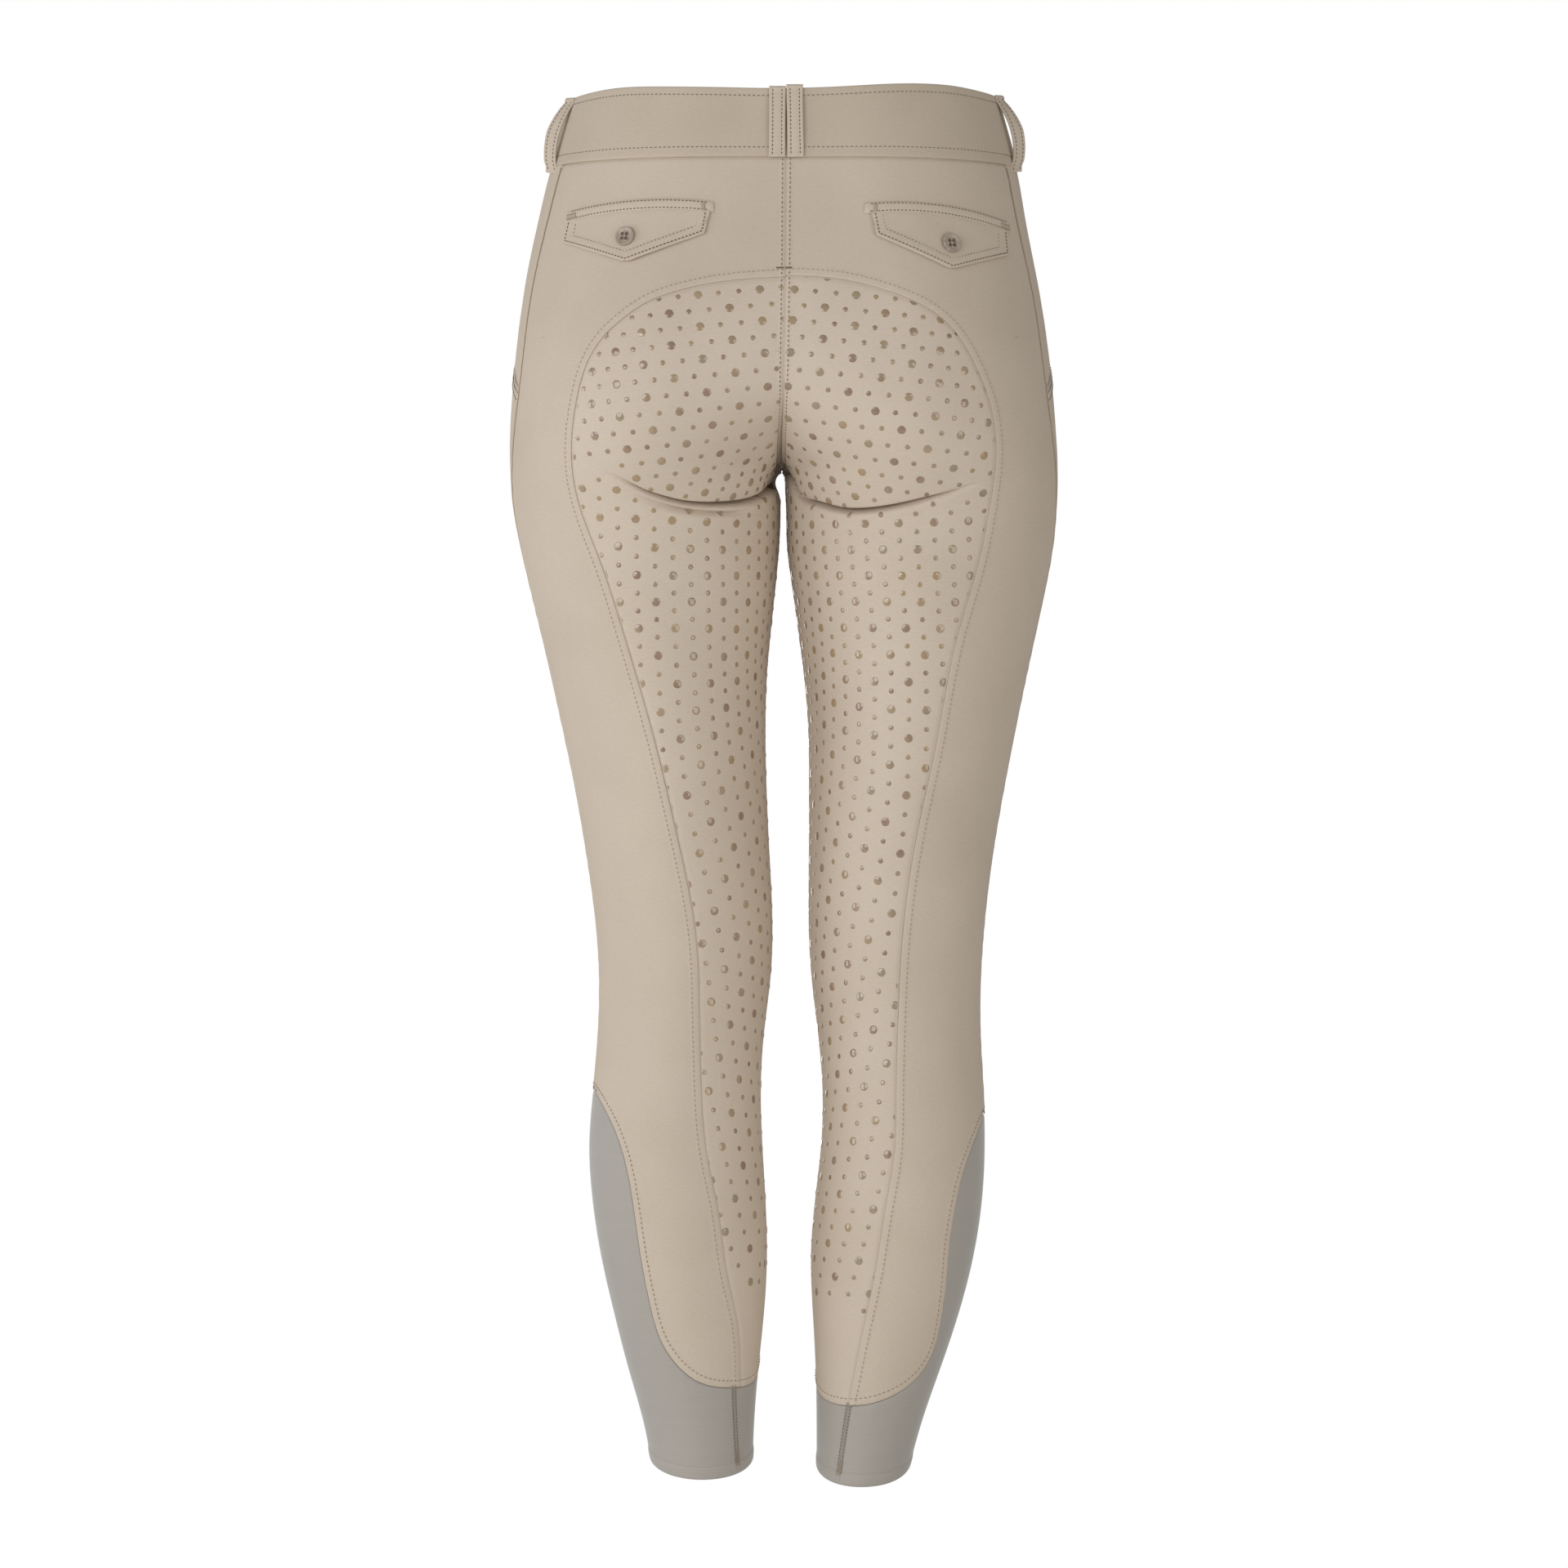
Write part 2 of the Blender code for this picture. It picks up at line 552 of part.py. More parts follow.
def add_object(name, mesh, finish):
    bmesh.ops.recalc_face_normals(mesh, faces=mesh.faces)
    bmesh.ops.scale(mesh, vec=(MM, MM, MM), verts=mesh.verts)
    data = bpy.data.meshes.new(name)
    mesh.to_mesh(data)
    mesh.free()
    data.shade_smooth()
    data.set_sharp_from_angle(angle=math.radians(40))
    data.materials.append(material(finish))
    made = bpy.data.objects.new(name, data)
    bpy.context.scene.collection.objects.link(made)
    return made


def wall_mesh(outer, inner, ring=False):
    """Closed wall between two grids of points. A ring joins its last column to its first."""
    mesh = bmesh.new()
    rows, cols = outer.shape[:2]
    skins = [
        [[mesh.verts.new(point) for point in row] for row in skin] for skin in (outer, inner)
    ]
    last = cols if ring else cols - 1
    for skin in skins:
        for i in range(rows - 1):
            for j in range(last):
                k = (j + 1) % cols
                mesh.faces.new((skin[i][j], skin[i][k], skin[i + 1][k], skin[i + 1][j]))
    front, back = skins
    for i in (0, rows - 1):
        for j in range(last):
            k = (j + 1) % cols
            mesh.faces.new((front[i][j], front[i][k], back[i][k], back[i][j]))
    if not ring:
        for j in (0, cols - 1):
            for i in range(rows - 1):
                mesh.faces.new((front[i][j], front[i + 1][j], back[i + 1][j], back[i][j]))
    return mesh


def add_panel(name, side, grid, finish, wall=CLOTH, out=0.0, centre="", still=(), ring=False):
    """Cloth wall over a grid of places; out is how far its outer face stands off the surface."""
    points, normals = surface(side, grid[..., 0], grid[..., 1])
    if ring:
        points[0] = drawn_in(
            np.concatenate([points[:, -1:], points, points[:, :1]], axis=1),
            np.concatenate([grid[:, -1:], grid, grid[:, :1]], axis=1)[..., 1],
            centre, ("left", "right", "bottom"),
        )[0, 1:-1]
    else:
        points = drawn_in(points, grid[..., 1], centre, still)
    out = np.broadcast_to(out, grid.shape[:2])[..., None]
    outer = points + normals * out
    return add_object(name, wall_mesh(outer, outer - normals * wall, ring), finish)


def add_leg_panels(side, line):
    name = side_name(side)
    inseam = joined(line["inseam_leg"], line["inseam_calf"])
    edge = joined(line["edge_hip"], line["edge_leg"], line["edge_calf"])
    add_panel(
        "seat_" + name, side,
        patch(joined(line["centre_back"], inseam), edge, line["arch"], line["foot_seat"]),
        "seat_cloth", centre="left",
    )
    add_panel(
        "back_" + name, side,
        patch(
            joined(line["arch"], edge),
            joined(line["waist_back"], line["side_hip"], line["side_leg"], line["sock_calf"]),
            line["top_back"], line["sock_foot"],
        ),
        "stretch_cloth", centre="top",
    )
    mouth_rows = len(line["mouth"])
    outer = joined(line["side_hip"], line["side_leg"])
    outer[:mouth_rows] = line["mouth"]
    front_inseam = line["inseam_leg"] - [2, 0]
    add_panel(
        "front_" + name, side,
        patch(outer, joined(line["centre_front"], front_inseam), line["waist_front"],
              line["sock_front"]),
        "stretch_cloth", centre="right",
    )


def add_pocket_facing(side, line):
    """The hip piece behind the slanted mouth, sunk under the front and run in below it."""
    seam, mouth = line["facing_side"], line["mouth"]
    under = mouth - [FACING_UNDER / FRONT_PER_ROUND, 0]
    shares = np.array([0, 0.12, 0.5, 0.85, 1.0])[None, :, None]
    grid = seam[:, None] * (1 - shares) + under[:, None] * shares
    apart = (grid[:, :1, 0] - grid[..., 0]) * FRONT_PER_ROUND
    sink = FACING_SINK * smooth_step(apart / FACING_SLOPE)
    add_panel(
        "pocket_facing_" + side_name(side), side, grid, "stretch_cloth", out=-sink,
        still=("right", "bottom"),
    )


def add_sock(side, line):
    """Tube from the cloth's edge to the hem; its columns start on the same places."""
    top = joined(
        line["sock_front"][::-1] + [2, 0],
        line["sock_calf"] + [2, 0],
        line["sock_foot"][::-1] + [2, 0],
        line["foot_seat"][::-1] + [2, 0],
        line["inseam_calf"][::-1] + [2, 0],
    )[:-1]
    ends = np.cumsum([0, FRONT_COLUMNS, CALF_ROWS, BACK_COLUMNS + ARCH_ROWS, CALF_ROWS])
    round_at_hem = np.interp(np.arange(len(top)), ends, SOCK_HEM_ROUNDS)
    down = np.linspace(0, 1, SOCK_ROWS + 1)[:, None]
    round_ = top[:, 0] + (round_at_hem - top[:, 0]) * down
    turn = (round_at_hem + 1) % 2 - 1
    hem = HEM_LEVEL[side] + np.where(
        turn > 0, -HEM_BACK_DROP * np.sin(math.pi * turn), -HEM_FRONT_RISE * np.sin(math.pi * turn)
    )
    level = top[:, 1] + (hem - top[:, 1]) * down
    grid = places((round_ + 1) % 2 - 1, level)
    add_panel("sock_" + side_name(side), side, grid, "sock_jersey", wall=SOCK_CLOTH, ring=True)


def add_waistband(side):
    """Half of the band. The right half runs on past the centre front over the left one."""
    round_ = np.linspace(1, -1, BAND_COLUMNS + 1)
    if side > 0:
        round_ = np.concatenate([round_, -1 - BAND_OVERLAP * np.linspace(0.25, 1, 4)])
    level = np.linspace(0, -BAND_HEIGHT, 4)
    grid = places(round_[None, :], level[:, None])
    rise = smooth_step((BAND_STEP - 1 - grid[..., 0] + 0.02) / BAND_STEP)
    lift = (BAND_CLOTH + LAID_GAP) * rise * (side > 0)
    add_panel(
        "waistband_" + side_name(side), side, grid, "stretch_cloth", wall=BAND_CLOTH,
        out=BAND_PROUD + lift, still=("left", "right", "top", "bottom"),
    )


def add_laid_piece(name, side, x, level, wall=CLOTH, out=LAID_GAP):
    """Piece that lies on the back panel over a grid of distances and levels."""
    round_ = place(side, x, level).reshape(np.shape(x))
    points, normals = surface(side, round_, level)
    inner = points + normals * out
    return add_object(name, wall_mesh(inner + normals * wall, inner), "stretch_cloth")


def add_hip_pocket(side):
    """Welt and flap of the pocket on the back."""
    size = POCKETS[side]
    middle = (size["welt_inner"] + size["welt_outer"]) / 2
    bow = (size["middle_top"] - (size["inner_top"] + size["outer_top"]) / 2)
    half = (size["welt_outer"] - size["welt_inner"]) / 2

    def welt_top(x):
        share = (x - middle) / half
        mean = (size["inner_top"] + size["outer_top"]) / 2
        return mean + bow * (1 - share ** 2) + (size["outer_top"] - size["inner_top"]) / 2 * share

    x = np.linspace(size["welt_inner"], size["welt_outer"], 12)[None, :] + np.zeros((3, 1))
    level = welt_top(x) - size["welt_height"] * np.linspace(0, 1, 3)[:, None]
    add_laid_piece("pocket_welt_" + side_name(side), side, x, level)

    down = np.linspace(0, 1, 5)[:, None]
    share = np.concatenate([np.linspace(0, 0.55, 7), np.linspace(0.55, 1, 6)[1:]])[None, :]
    top_x = size["flap_inner_top"] + (size["flap_outer_top"] - size["flap_inner_top"]) * share
    foot_x = np.where(
        share < 0.55,
        size["flap_inner"] + (size["point"] - size["flap_inner"]) * share / 0.55,
        size["point"] + (size["flap_outer"] - size["point"]) * (share - 0.55) / 0.45,
    )
    foot = np.where(
        share < 0.55,
        size["inner_drop"] + (size["point_drop"] - size["inner_drop"]) * share / 0.55,
        size["point_drop"] + (size["outer_drop"] - size["point_drop"]) * (share - 0.55) / 0.45,
    )
    top = welt_top(top_x) - size["welt_height"] - LAID_GAP
    x = top_x + (foot_x - top_x) * down
    level = top + (foot - top) * down
    add_laid_piece("pocket_flap_" + side_name(side), side, x, level)


def frame_at(side, round_, level):
    """Point, outward normal and the level direction round the body at one place."""
    point, normal = surface(side, np.array([round_]), np.array([level]))
    normal = normal[0] / np.linalg.norm(normal[0])
    along = np.cross(normal, [0, 0, 1.0])
    along /= np.linalg.norm(along)
    return point[0], normal, along


BUTTON_PROFILE = (  # radius and height of the turned face, as shares of radius and thickness
    (0.0, 0.52), (0.48, 0.52), (0.66, 0.62), (0.78, 0.92), (0.88, 1.0), (1.0, 0.72), (1.0, 0.28),
    (0.86, 0.0), (0.0, 0.0),
)
BUTTON_HOLES = 4
BUTTON_SEGMENTS = 24


def add_button(name, side, round_, level, out, radius, thick):
    """Turned four-hole button with a raised rim, seated on the cloth below it."""
    point, normal, along = frame_at(side, round_, level)
    up = np.cross(along, normal)
    mesh = bmesh.new()
    rings = []
    for share, height in BUTTON_PROFILE:
        if share == 0:
            rings.append([mesh.verts.new((0, 0, height * thick))])
            continue
        angles = 2 * math.pi * np.arange(BUTTON_SEGMENTS) / BUTTON_SEGMENTS
        rings.append([
            mesh.verts.new((radius * share * math.cos(a), radius * share * math.sin(a),
                            height * thick)) for a in angles
        ])
    for first, second in zip(rings, rings[1:]):
        for j in range(BUTTON_SEGMENTS):
            k = (j + 1) % BUTTON_SEGMENTS
            if len(first) == 1:
                mesh.faces.new((first[0], second[j], second[k]))
            elif len(second) == 1:
                mesh.faces.new((first[j], first[k], second[0]))
            else:
                mesh.faces.new((first[j], first[k], second[k], second[j]))
    turn = np.array([along, -up, normal]).T
    base = point + normal * out
    for vert in mesh.verts:
        vert.co = turn @ np.array(vert.co) + base
    made = add_object(name, mesh, "button_resin")
    cutter = bmesh.new()
    for hole in range(BUTTON_HOLES):
        angle = math.pi / 4 + math.tau * hole / BUTTON_HOLES
        middle = np.array([math.cos(angle), math.sin(angle), 0]) * radius * 0.26
        drilled = bmesh.ops.create_cone(
            cutter, cap_ends=True, segments=8, radius1=radius * 0.115, radius2=radius * 0.115,
            depth=4 * thick,
        )
        for vert in drilled["verts"]:
            vert.co = turn @ (np.array(vert.co) + middle) + base
    tool = add_object(name + "_holes", cutter, "button_resin")
    tool.hide_render = True
    tool.display_type = "WIRE"
    drill = made.modifiers.new("holes", "BOOLEAN")
    drill.operation = "DIFFERENCE"
    drill.solver = "EXACT"
    drill.object = tool


def add_belt_loop(row):
    """Strap sewn to the band at both ends, standing off it by its bow in between."""
    loop = dict(zip(LOOP_COLUMNS, row))
    side = loop["side"]
    mesh = bmesh.new()
    rings = []
    for step in np.linspace(0, 1, LOOP_STEPS):
        level = loop["top"] + (loop["bottom"] - loop["top"]) * step
        point, normal, along = frame_at(side, loop["round"], level)
        lifted = min(max((step - LOOP_FOOT) / (1 - 2 * LOOP_FOOT), 0), 1)
        rise = math.sin(math.pi * lifted) ** 0.8
        turn = math.radians(loop["twist"]) * rise * side
        width = along * math.cos(turn) - normal * math.sin(turn)
        face = normal * math.cos(turn) + along * math.sin(turn)
        middle = point + normal * (BAND_PROUD + LAID_GAP + LOOP_CLOTH / 2 + loop["bow"] * rise)
        rings.append([
            mesh.verts.new(middle + width * w * LOOP_WIDTH / 2 + face * f * LOOP_CLOTH / 2)
            for w, f in ((-1, -1), (1, -1), (1, 1), (-1, 1))
        ])
    for first, second in zip(rings, rings[1:]):
        for j in range(4):
            k = (j + 1) % 4
            mesh.faces.new((first[j], first[k], second[k], second[j]))
    mesh.faces.new(rings[0])
    mesh.faces.new(rings[-1])
    add_object(loop["name"], mesh, "stretch_cloth")


def add_fly():
    """Flap of the fly: it lies on the right front from the centre and ends in a curve."""
    down = np.linspace(0, 1, 13)
    level = -BAND_HEIGHT - LAID_GAP - FLY_LENGTH * down
    curved = np.clip((down - FLY_STRAIGHT) / (1.02 - FLY_STRAIGHT), 0, 1)
    width = FLY_WIDTH * np.sqrt(np.clip(1 - curved ** 2, 0.02, 1))
    across = np.linspace(0, 1, 5)
    round_ = -1 + width[:, None] * across[None, :] / FRONT_PER_ROUND
    grid = places(round_, level[:, None])
    add_panel(
        "fly", 1, grid, "stretch_cloth", out=LAID_GAP + CLOTH,
        still=("left", "right", "top", "bottom"),
    )


def main():
    for old in list(bpy.data.objects):
        bpy.data.objects.remove(old)
    for side in (-1, 1):
        line = seams(side)
        add_leg_panels(side, line)
        add_pocket_facing(side, line)
        add_sock(side, line)
        add_waistband(side)
        add_hip_pocket(side)
        size = POCKETS[side]
        add_button(
            "flap_button_" + side_name(side), side,
            float(place(side, size["button"], size["button_level"])[0]), size["button_level"],
            LAID_GAP + CLOTH + LAID_GAP, **FLAP_BUTTON,
        )
    for row in LOOPS:
        add_belt_loop(row)
    add_fly()
    add_button(
        "waist_button", -1, WAIST_BUTTON_ROUND, -BAND_HEIGHT / 2,
        BAND_PROUD + BAND_CLOTH + 2 * LAID_GAP, **WAIST_BUTTON,
    )


main()
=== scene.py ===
# Women's full-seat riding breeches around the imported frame, seat towards -Y. Lengths are in
# millimetres until a mesh is made.
import math

import bmesh
import bpy
import mathutils
import numpy as np
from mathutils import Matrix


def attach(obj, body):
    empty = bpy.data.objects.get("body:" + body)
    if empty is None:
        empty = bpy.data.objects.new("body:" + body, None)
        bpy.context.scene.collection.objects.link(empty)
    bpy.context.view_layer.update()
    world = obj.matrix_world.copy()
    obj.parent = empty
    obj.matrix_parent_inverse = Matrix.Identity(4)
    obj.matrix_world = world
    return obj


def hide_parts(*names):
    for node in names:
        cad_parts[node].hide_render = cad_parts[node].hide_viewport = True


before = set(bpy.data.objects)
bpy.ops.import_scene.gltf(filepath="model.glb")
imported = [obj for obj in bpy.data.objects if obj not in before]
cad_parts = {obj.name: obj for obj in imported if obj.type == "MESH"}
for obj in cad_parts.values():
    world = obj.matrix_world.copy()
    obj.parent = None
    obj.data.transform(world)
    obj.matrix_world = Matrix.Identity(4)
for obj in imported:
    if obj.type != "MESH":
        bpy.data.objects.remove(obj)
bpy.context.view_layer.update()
mm = 0.001
print("frame loaded")


# Camera, light and floor come first.
studio = {
    "cameraDistance": 5.0,
    "cameraHeight": -0.470,
    "frameWidth": 1.0746,  # width of the picture at the middle of the garment
    "sensor": 36.0,
    "floorLevel": -1.12,
    "floorHalves": (1.9, 1.25),
    "floorMiddle": -0.35,
    "skyLight": 0.33,
    "paperLight": 1.0,
    "aim": (0, 0, -0.45),
    "floorPaint": "#F2F1EE",
    "floorRough": 0.9,
    # soft boxes: name, place, power, size, colour
    "boxes": (
        ("leftBox", (-1.5, -2.0, -0.06), 16.8, 1.3, (0.99, 1.0, 1.01)),
        ("sideBox", (-2.6, -0.6, -0.44), 18.2, 1.3, (0.98, 1.0, 1.04)),
        ("rightBox", (1.72, -1.9, -0.52), 11.4, 1.3, (1.03, 1.0, 0.95)),
        ("leftGlint", (-0.8, -2.2, 0.10), 3.5, 0.6, (0.99, 1.0, 1.01)),
        ("rightGlint", (0.8, -2.2, 0.10), 2.8, 0.6, (1.0, 1.0, 1.0)),
        ("rimBox", (-2.2, 1.8, 0.0), 2.4, 1.3, (0.97, 1.0, 1.04)),
        ("frontBox", (-0.4, 2.8, -0.20), 16.0, 1.3, (1.0, 1.0, 1.0)),
    ),
}


def aimAt(thing, target):
    direction = np.array(target) - np.array(thing.location)
    yaw = math.atan2(direction[1], direction[0]) - math.pi / 2
    pitch = math.atan2(direction[2], math.hypot(direction[0], direction[1])) + math.pi / 2
    thing.rotation_euler = (pitch, 0, yaw)


def addObject(name, data):
    made = bpy.data.objects.new(name, data)
    bpy.context.scene.collection.objects.link(made)
    return made


def meshOf(name, form):
    data = bpy.data.meshes.new(name)
    form.to_mesh(data)
    form.free()
    return data


def addLight(name, place, power, size, colour):
    lamp = bpy.data.lights.new(name, "AREA")
    lamp.energy = power
    lamp.size = size
    lamp.color = colour
    holder = addObject(name, lamp)
    holder.location = place
    aimAt(holder, studio["aim"])


def hexToLinear(code, alpha=1.0):
    parts = [int(code[i:i + 2], 16) / 255 for i in (1, 3, 5)]
    linear = [c / 12.92 if c <= 0.04045 else ((c + 0.055) / 1.055) ** 2.4 for c in parts]
    return (*linear, alpha)


def addNode(tree, kind, inputs=None, **settings):
    node = tree.nodes.new(kind)
    for key, value in settings.items():
        setattr(node, key, value)
    for socket, value in (inputs or {}).items():
        if isinstance(value, bpy.types.NodeSocket):
            tree.links.new(value, node.inputs[socket])
        else:
            node.inputs[socket].default_value = value
    return node


def buildStudio():
    lens = bpy.data.cameras.new("camera")
    lens.sensor_width = studio["sensor"]
    lens.lens = studio["sensor"] * studio["cameraDistance"] / studio["frameWidth"]
    camera = addObject("camera", lens)
    camera.location = (0, -studio["cameraDistance"], studio["cameraHeight"])
    camera.rotation_euler = (math.pi / 2, 0, 0)
    bpy.context.scene.camera = camera
    bpy.context.scene.view_settings.view_transform = "Standard"

    for box in studio["boxes"]:
        addLight(*box)

    world = bpy.data.worlds.new("paperWhite")
    world.use_nodes = True
    tree = world.node_tree
    tree.nodes.clear()
    glow, paper = (
        addNode(tree, "ShaderNodeBackground", {"Color": (1, 1, 1, 1), "Strength": studio[power]})
        for power in ("skyLight", "paperLight")
    )
    path = addNode(tree, "ShaderNodeLightPath")
    mixed = addNode(tree, "ShaderNodeMixShader", {
        0: path.outputs["Is Camera Ray"], 1: glow.outputs[0], 2: paper.outputs[0],
    })
    addNode(tree, "ShaderNodeOutputWorld", {"Surface": mixed.outputs[0]})
    bpy.context.scene.world = world

    floor = bmesh.new()
    bmesh.ops.create_grid(floor, x_segments=1, y_segments=1, size=1.0)
    plane = addObject("floor", meshOf("floor", floor))
    plane.scale = (*studio["floorHalves"], 1)
    plane.location = (0, studio["floorMiddle"], studio["floorLevel"])
    paint = bpy.data.materials.new("matteWhiteBoard")
    paint.use_nodes = True
    shader = paint.node_tree.nodes["Principled BSDF"]
    shader.inputs["Base Color"].default_value = hexToLinear(studio["floorPaint"])
    shader.inputs["Roughness"].default_value = studio["floorRough"]
    plane.data.materials.append(paint)


buildStudio()
print("studio ready")


# The outer surface that every panel lies on.
body = {
    "halfGap": 0.01,
    "cloth": 1.4,
    "sockCloth": 1.2,
    "bandCloth": 2.4,
    "bandProud": 0.8,
    "bandHeight": 49.0,
    "laidGap": 0.3,  # between a piece and the cloth that it lies on
    "stitchRise": 0.02,  # of the stitches over the face of a flap
    "crotch": -256.0,
    "backFork": 78.0,
    "frontFork": 62.0,
    "evenLevel": -120.0,
    "inseamTurn": 0.14,
    "inseamDrop": 160.0,
    "peaks": (0.05, 0.5),  # least and most share of the way out at which the section is deepest
    "mitre": 0.3,
    "samples": 65,
}
crotch = body["crotch"]
halfGap = body["halfGap"]
sectionColumns = (
    "level", "leftOut", "leftIn", "rightOut", "rightIn",
    "sideY", "backY", "frontY", "backPeak", "frontPeak", "groove",
)
sections = [
    (8, 144.0, -1.4, 145.0, 1.4, 0, -97, 95, 0.24, 0.22, 1.000),
    (-20, 151.0, -1.5, 151.5, 1.5, 0, -100, 98, 0.26, 0.23, 1.000),
    (-50, 160.0, -1.6, 159.5, 1.6, -1, -105, 100, 0.29, 0.24, 0.998),
    (-80, 167.5, -1.4, 165.0, 1.4, -2, -110, 101, 0.33, 0.25, 0.994),
    (-110, 173.8, -1.2, 170.4, 1.2, -3, -117, 101, 0.37, 0.27, 0.988),
    (-140, 179.0, -0.8, 176.0, 0.8, -4, -125, 100, 0.40, 0.29, 0.980),
    (-170, 182.8, -0.4, 180.4, 0.4, -5, -131, 99, 0.43, 0.32, 0.970),
    (-200, 185.6, 0.2, 183.8, -0.2, -5, -133, 98, 0.45, 0.36, 0.958),
    (-228, 187.4, 1.0, 186.0, -1.0, -5, -130, 97, 0.475, 0.43, 0.950),
]
legSections = (  # the last three columns are the same down the whole leg
    (-256, 187.4, 1.6, 187.4, -1.4, -4, -118, 96),
    (-280, 185.6, 1.5, 186.8, 0.5, -4, -103, 95),
    (-305, 180.8, 2.2, 184.4, 1.0, -3, -98, 94),
    (-340, 172.6, 5.6, 178.0, 5.6, -3, -97, 91),
    (-380, 163.0, 10.4, 169.4, 11.6, -3, -94, 89),
    (-425, 153.0, 12.6, 160.0, 16.2, -3, -90, 83),
    (-470, 143.5, 12.0, 151.2, 17.1, -3, -85, 76),
    (-520, 134.8, 9.8, 142.6, 17.0, -5, -78, 67),
    (-560, 129.2, 8.0, 137.6, 16.8, -7, -73, 60),
    (-600, 126.3, 9.0, 134.6, 18.6, -9, -71, 53),
    (-640, 127.0, 13.6, 134.2, 23.2, -13, -74, 47),
    (-680, 130.4, 15.8, 136.2, 26.3, -17, -79, 42),
    (-715, 132.9, 14.8, 137.0, 25.4, -20, -82, 39),
    (-750, 131.0, 12.8, 135.4, 21.6, -22, -83, 36),
    (-790, 125.1, 11.6, 129.6, 18.4, -23, -80, 31),
    (-830, 116.0, 13.6, 119.4, 19.6, -24, -75, 26),
    (-870, 105.6, 17.6, 106.0, 21.6, -25, -70, 20),
    (-905, 95.8, 20.3, 93.9, 22.2, -25, -66, 16),
    (-950, 88.0, 21.8, 82.0, 22.2, -25, -62, 12),
)
sections += [row + (0.50, 0.50, 0.950) for row in legSections]


def spline(knots, values):
    knots = np.asarray(knots, float)
    values = np.asarray(values, float)
    steps = np.diff(knots)
    slopes = np.diff(values) / steps
    count = len(knots)
    system = np.eye(count)
    right = np.zeros(count)
    for i in range(1, count - 1):
        system[i, i - 1:i + 2] = steps[i - 1], 2 * (steps[i - 1] + steps[i]), steps[i]
        right[i] = 6 * (slopes[i] - slopes[i - 1])
    bends = np.linalg.solve(system, right)

    def value(at):
        at = np.clip(at, knots[0], knots[-1])
        i = np.clip(np.searchsorted(knots, at) - 1, 0, count - 2)
        h = steps[i]
        a = (knots[i + 1] - at) / h
        b = 1 - a
        bend = ((a ** 3 - a) * bends[i] + (b ** 3 - b) * bends[i + 1]) * h * h / 6
        return a * values[i] + b * values[i + 1] + bend

    return value


def columnSplines(names, rows):
    table = np.array(rows, float)
    if table[0, 0] > table[-1, 0]:
        table = table[::-1]
    return {name: spline(table[:, 0], table[:, i]) for i, name in enumerate(names)}


section = columnSplines(sectionColumns, sections)
samples = np.linspace(0, 1, body["samples"])


def smoothStep(x):
    x = np.clip(x, 0, 1)
    return x * x * (3 - 2 * x)


def bell(x):
    return np.exp(-x ** 2)


def fork(level, height):
    rise = np.clip((level - crotch) / height, 0, 1)
    return np.sqrt(1 - (1 - rise) ** 2)


def halfSection(side, level, front, along, forked=True):
    name = "right" if side > 0 else "left"
    out = section[name + "Out"](level)
    inner = section[name + "In"](level) + halfGap
    sideY = section["sideY"](level)
    depth = np.where(front, section["frontY"](level), section["backY"](level)) - sideY
    peak = np.where(front, section["frontPeak"](level), section["backPeak"](level))
    least, most = body["peaks"]
    peak = np.where(level < crotch, most, np.clip(peak, least, most))
    reach = np.where(front, fork(level, body["frontFork"]), fork(level, body["backFork"]))
    reach = reach * np.where(front, 1.0, section["groove"](level)) * forked
    drop = np.sqrt(np.clip(1 - reach ** 2, 1e-4, 1))
    outerAngle = np.minimum(along, 0.5) * math.pi
    innerAngle = np.arcsin(drop) * np.clip(2 * along - 1, 0, 1)
    across = np.where(
        along < 0.5,
        peak + (1 - peak) * np.cos(outerAngle),
        peak * (1 - np.sin(innerAngle) / drop),
    )
    bulge = np.where(along < 0.5, np.sin(outerAngle), np.cos(innerAngle))
    x = side * (inner + (out - inner) * across)
    return np.stack([x, sideY + depth * bulge, level + 0 * x], axis=-1)


def runOf(points):
    return np.cumsum(np.linalg.norm(np.diff(points, axis=0, prepend=points[:1]), axis=1))


def rowRuns(points):
    return np.cumsum(np.linalg.norm(np.diff(points, axis=1, prepend=points[:, :1]), axis=2), axis=1)


def sectionRun(side, level, front, forked=True):
    grid = samples[None, :] + 0 * level[:, None]
    many = halfSection(side, level[:, None], front[:, None], grid, forked)
    return rowRuns(many), many


def lengthAt(share, level, run, closedRun):
    kept = smoothStep((body["evenLevel"] - level) / (body["evenLevel"] - crotch))
    return share * run + kept * (closedRun - run) * (share - share ** 3)


def wrapped(turn, level):
    over = np.where(np.abs(turn) <= 1, turn, (turn + 1) % 2 - 1)
    return np.where(level < crotch, over, np.clip(turn, -1, 1))


def bareSurface(side, turn, level):
    turn = wrapped(turn, level)
    front = turn < 0
    run, _ = sectionRun(side, level, front)
    closedRun, _ = sectionRun(side, level, front, False)
    aim = lengthAt(np.abs(turn), level, run[:, -1], closedRun[:, -1])
    i = np.clip((run < aim[:, None]).sum(axis=1) - 1, 0, len(samples) - 2)
    row = np.arange(len(i))
    share = (aim - run[row, i]) / (run[row, i + 1] - run[row, i])
    along = samples[i] + np.clip(share, 0, 1) * (samples[1] - samples[0])
    return halfSection(side, level, front, along)


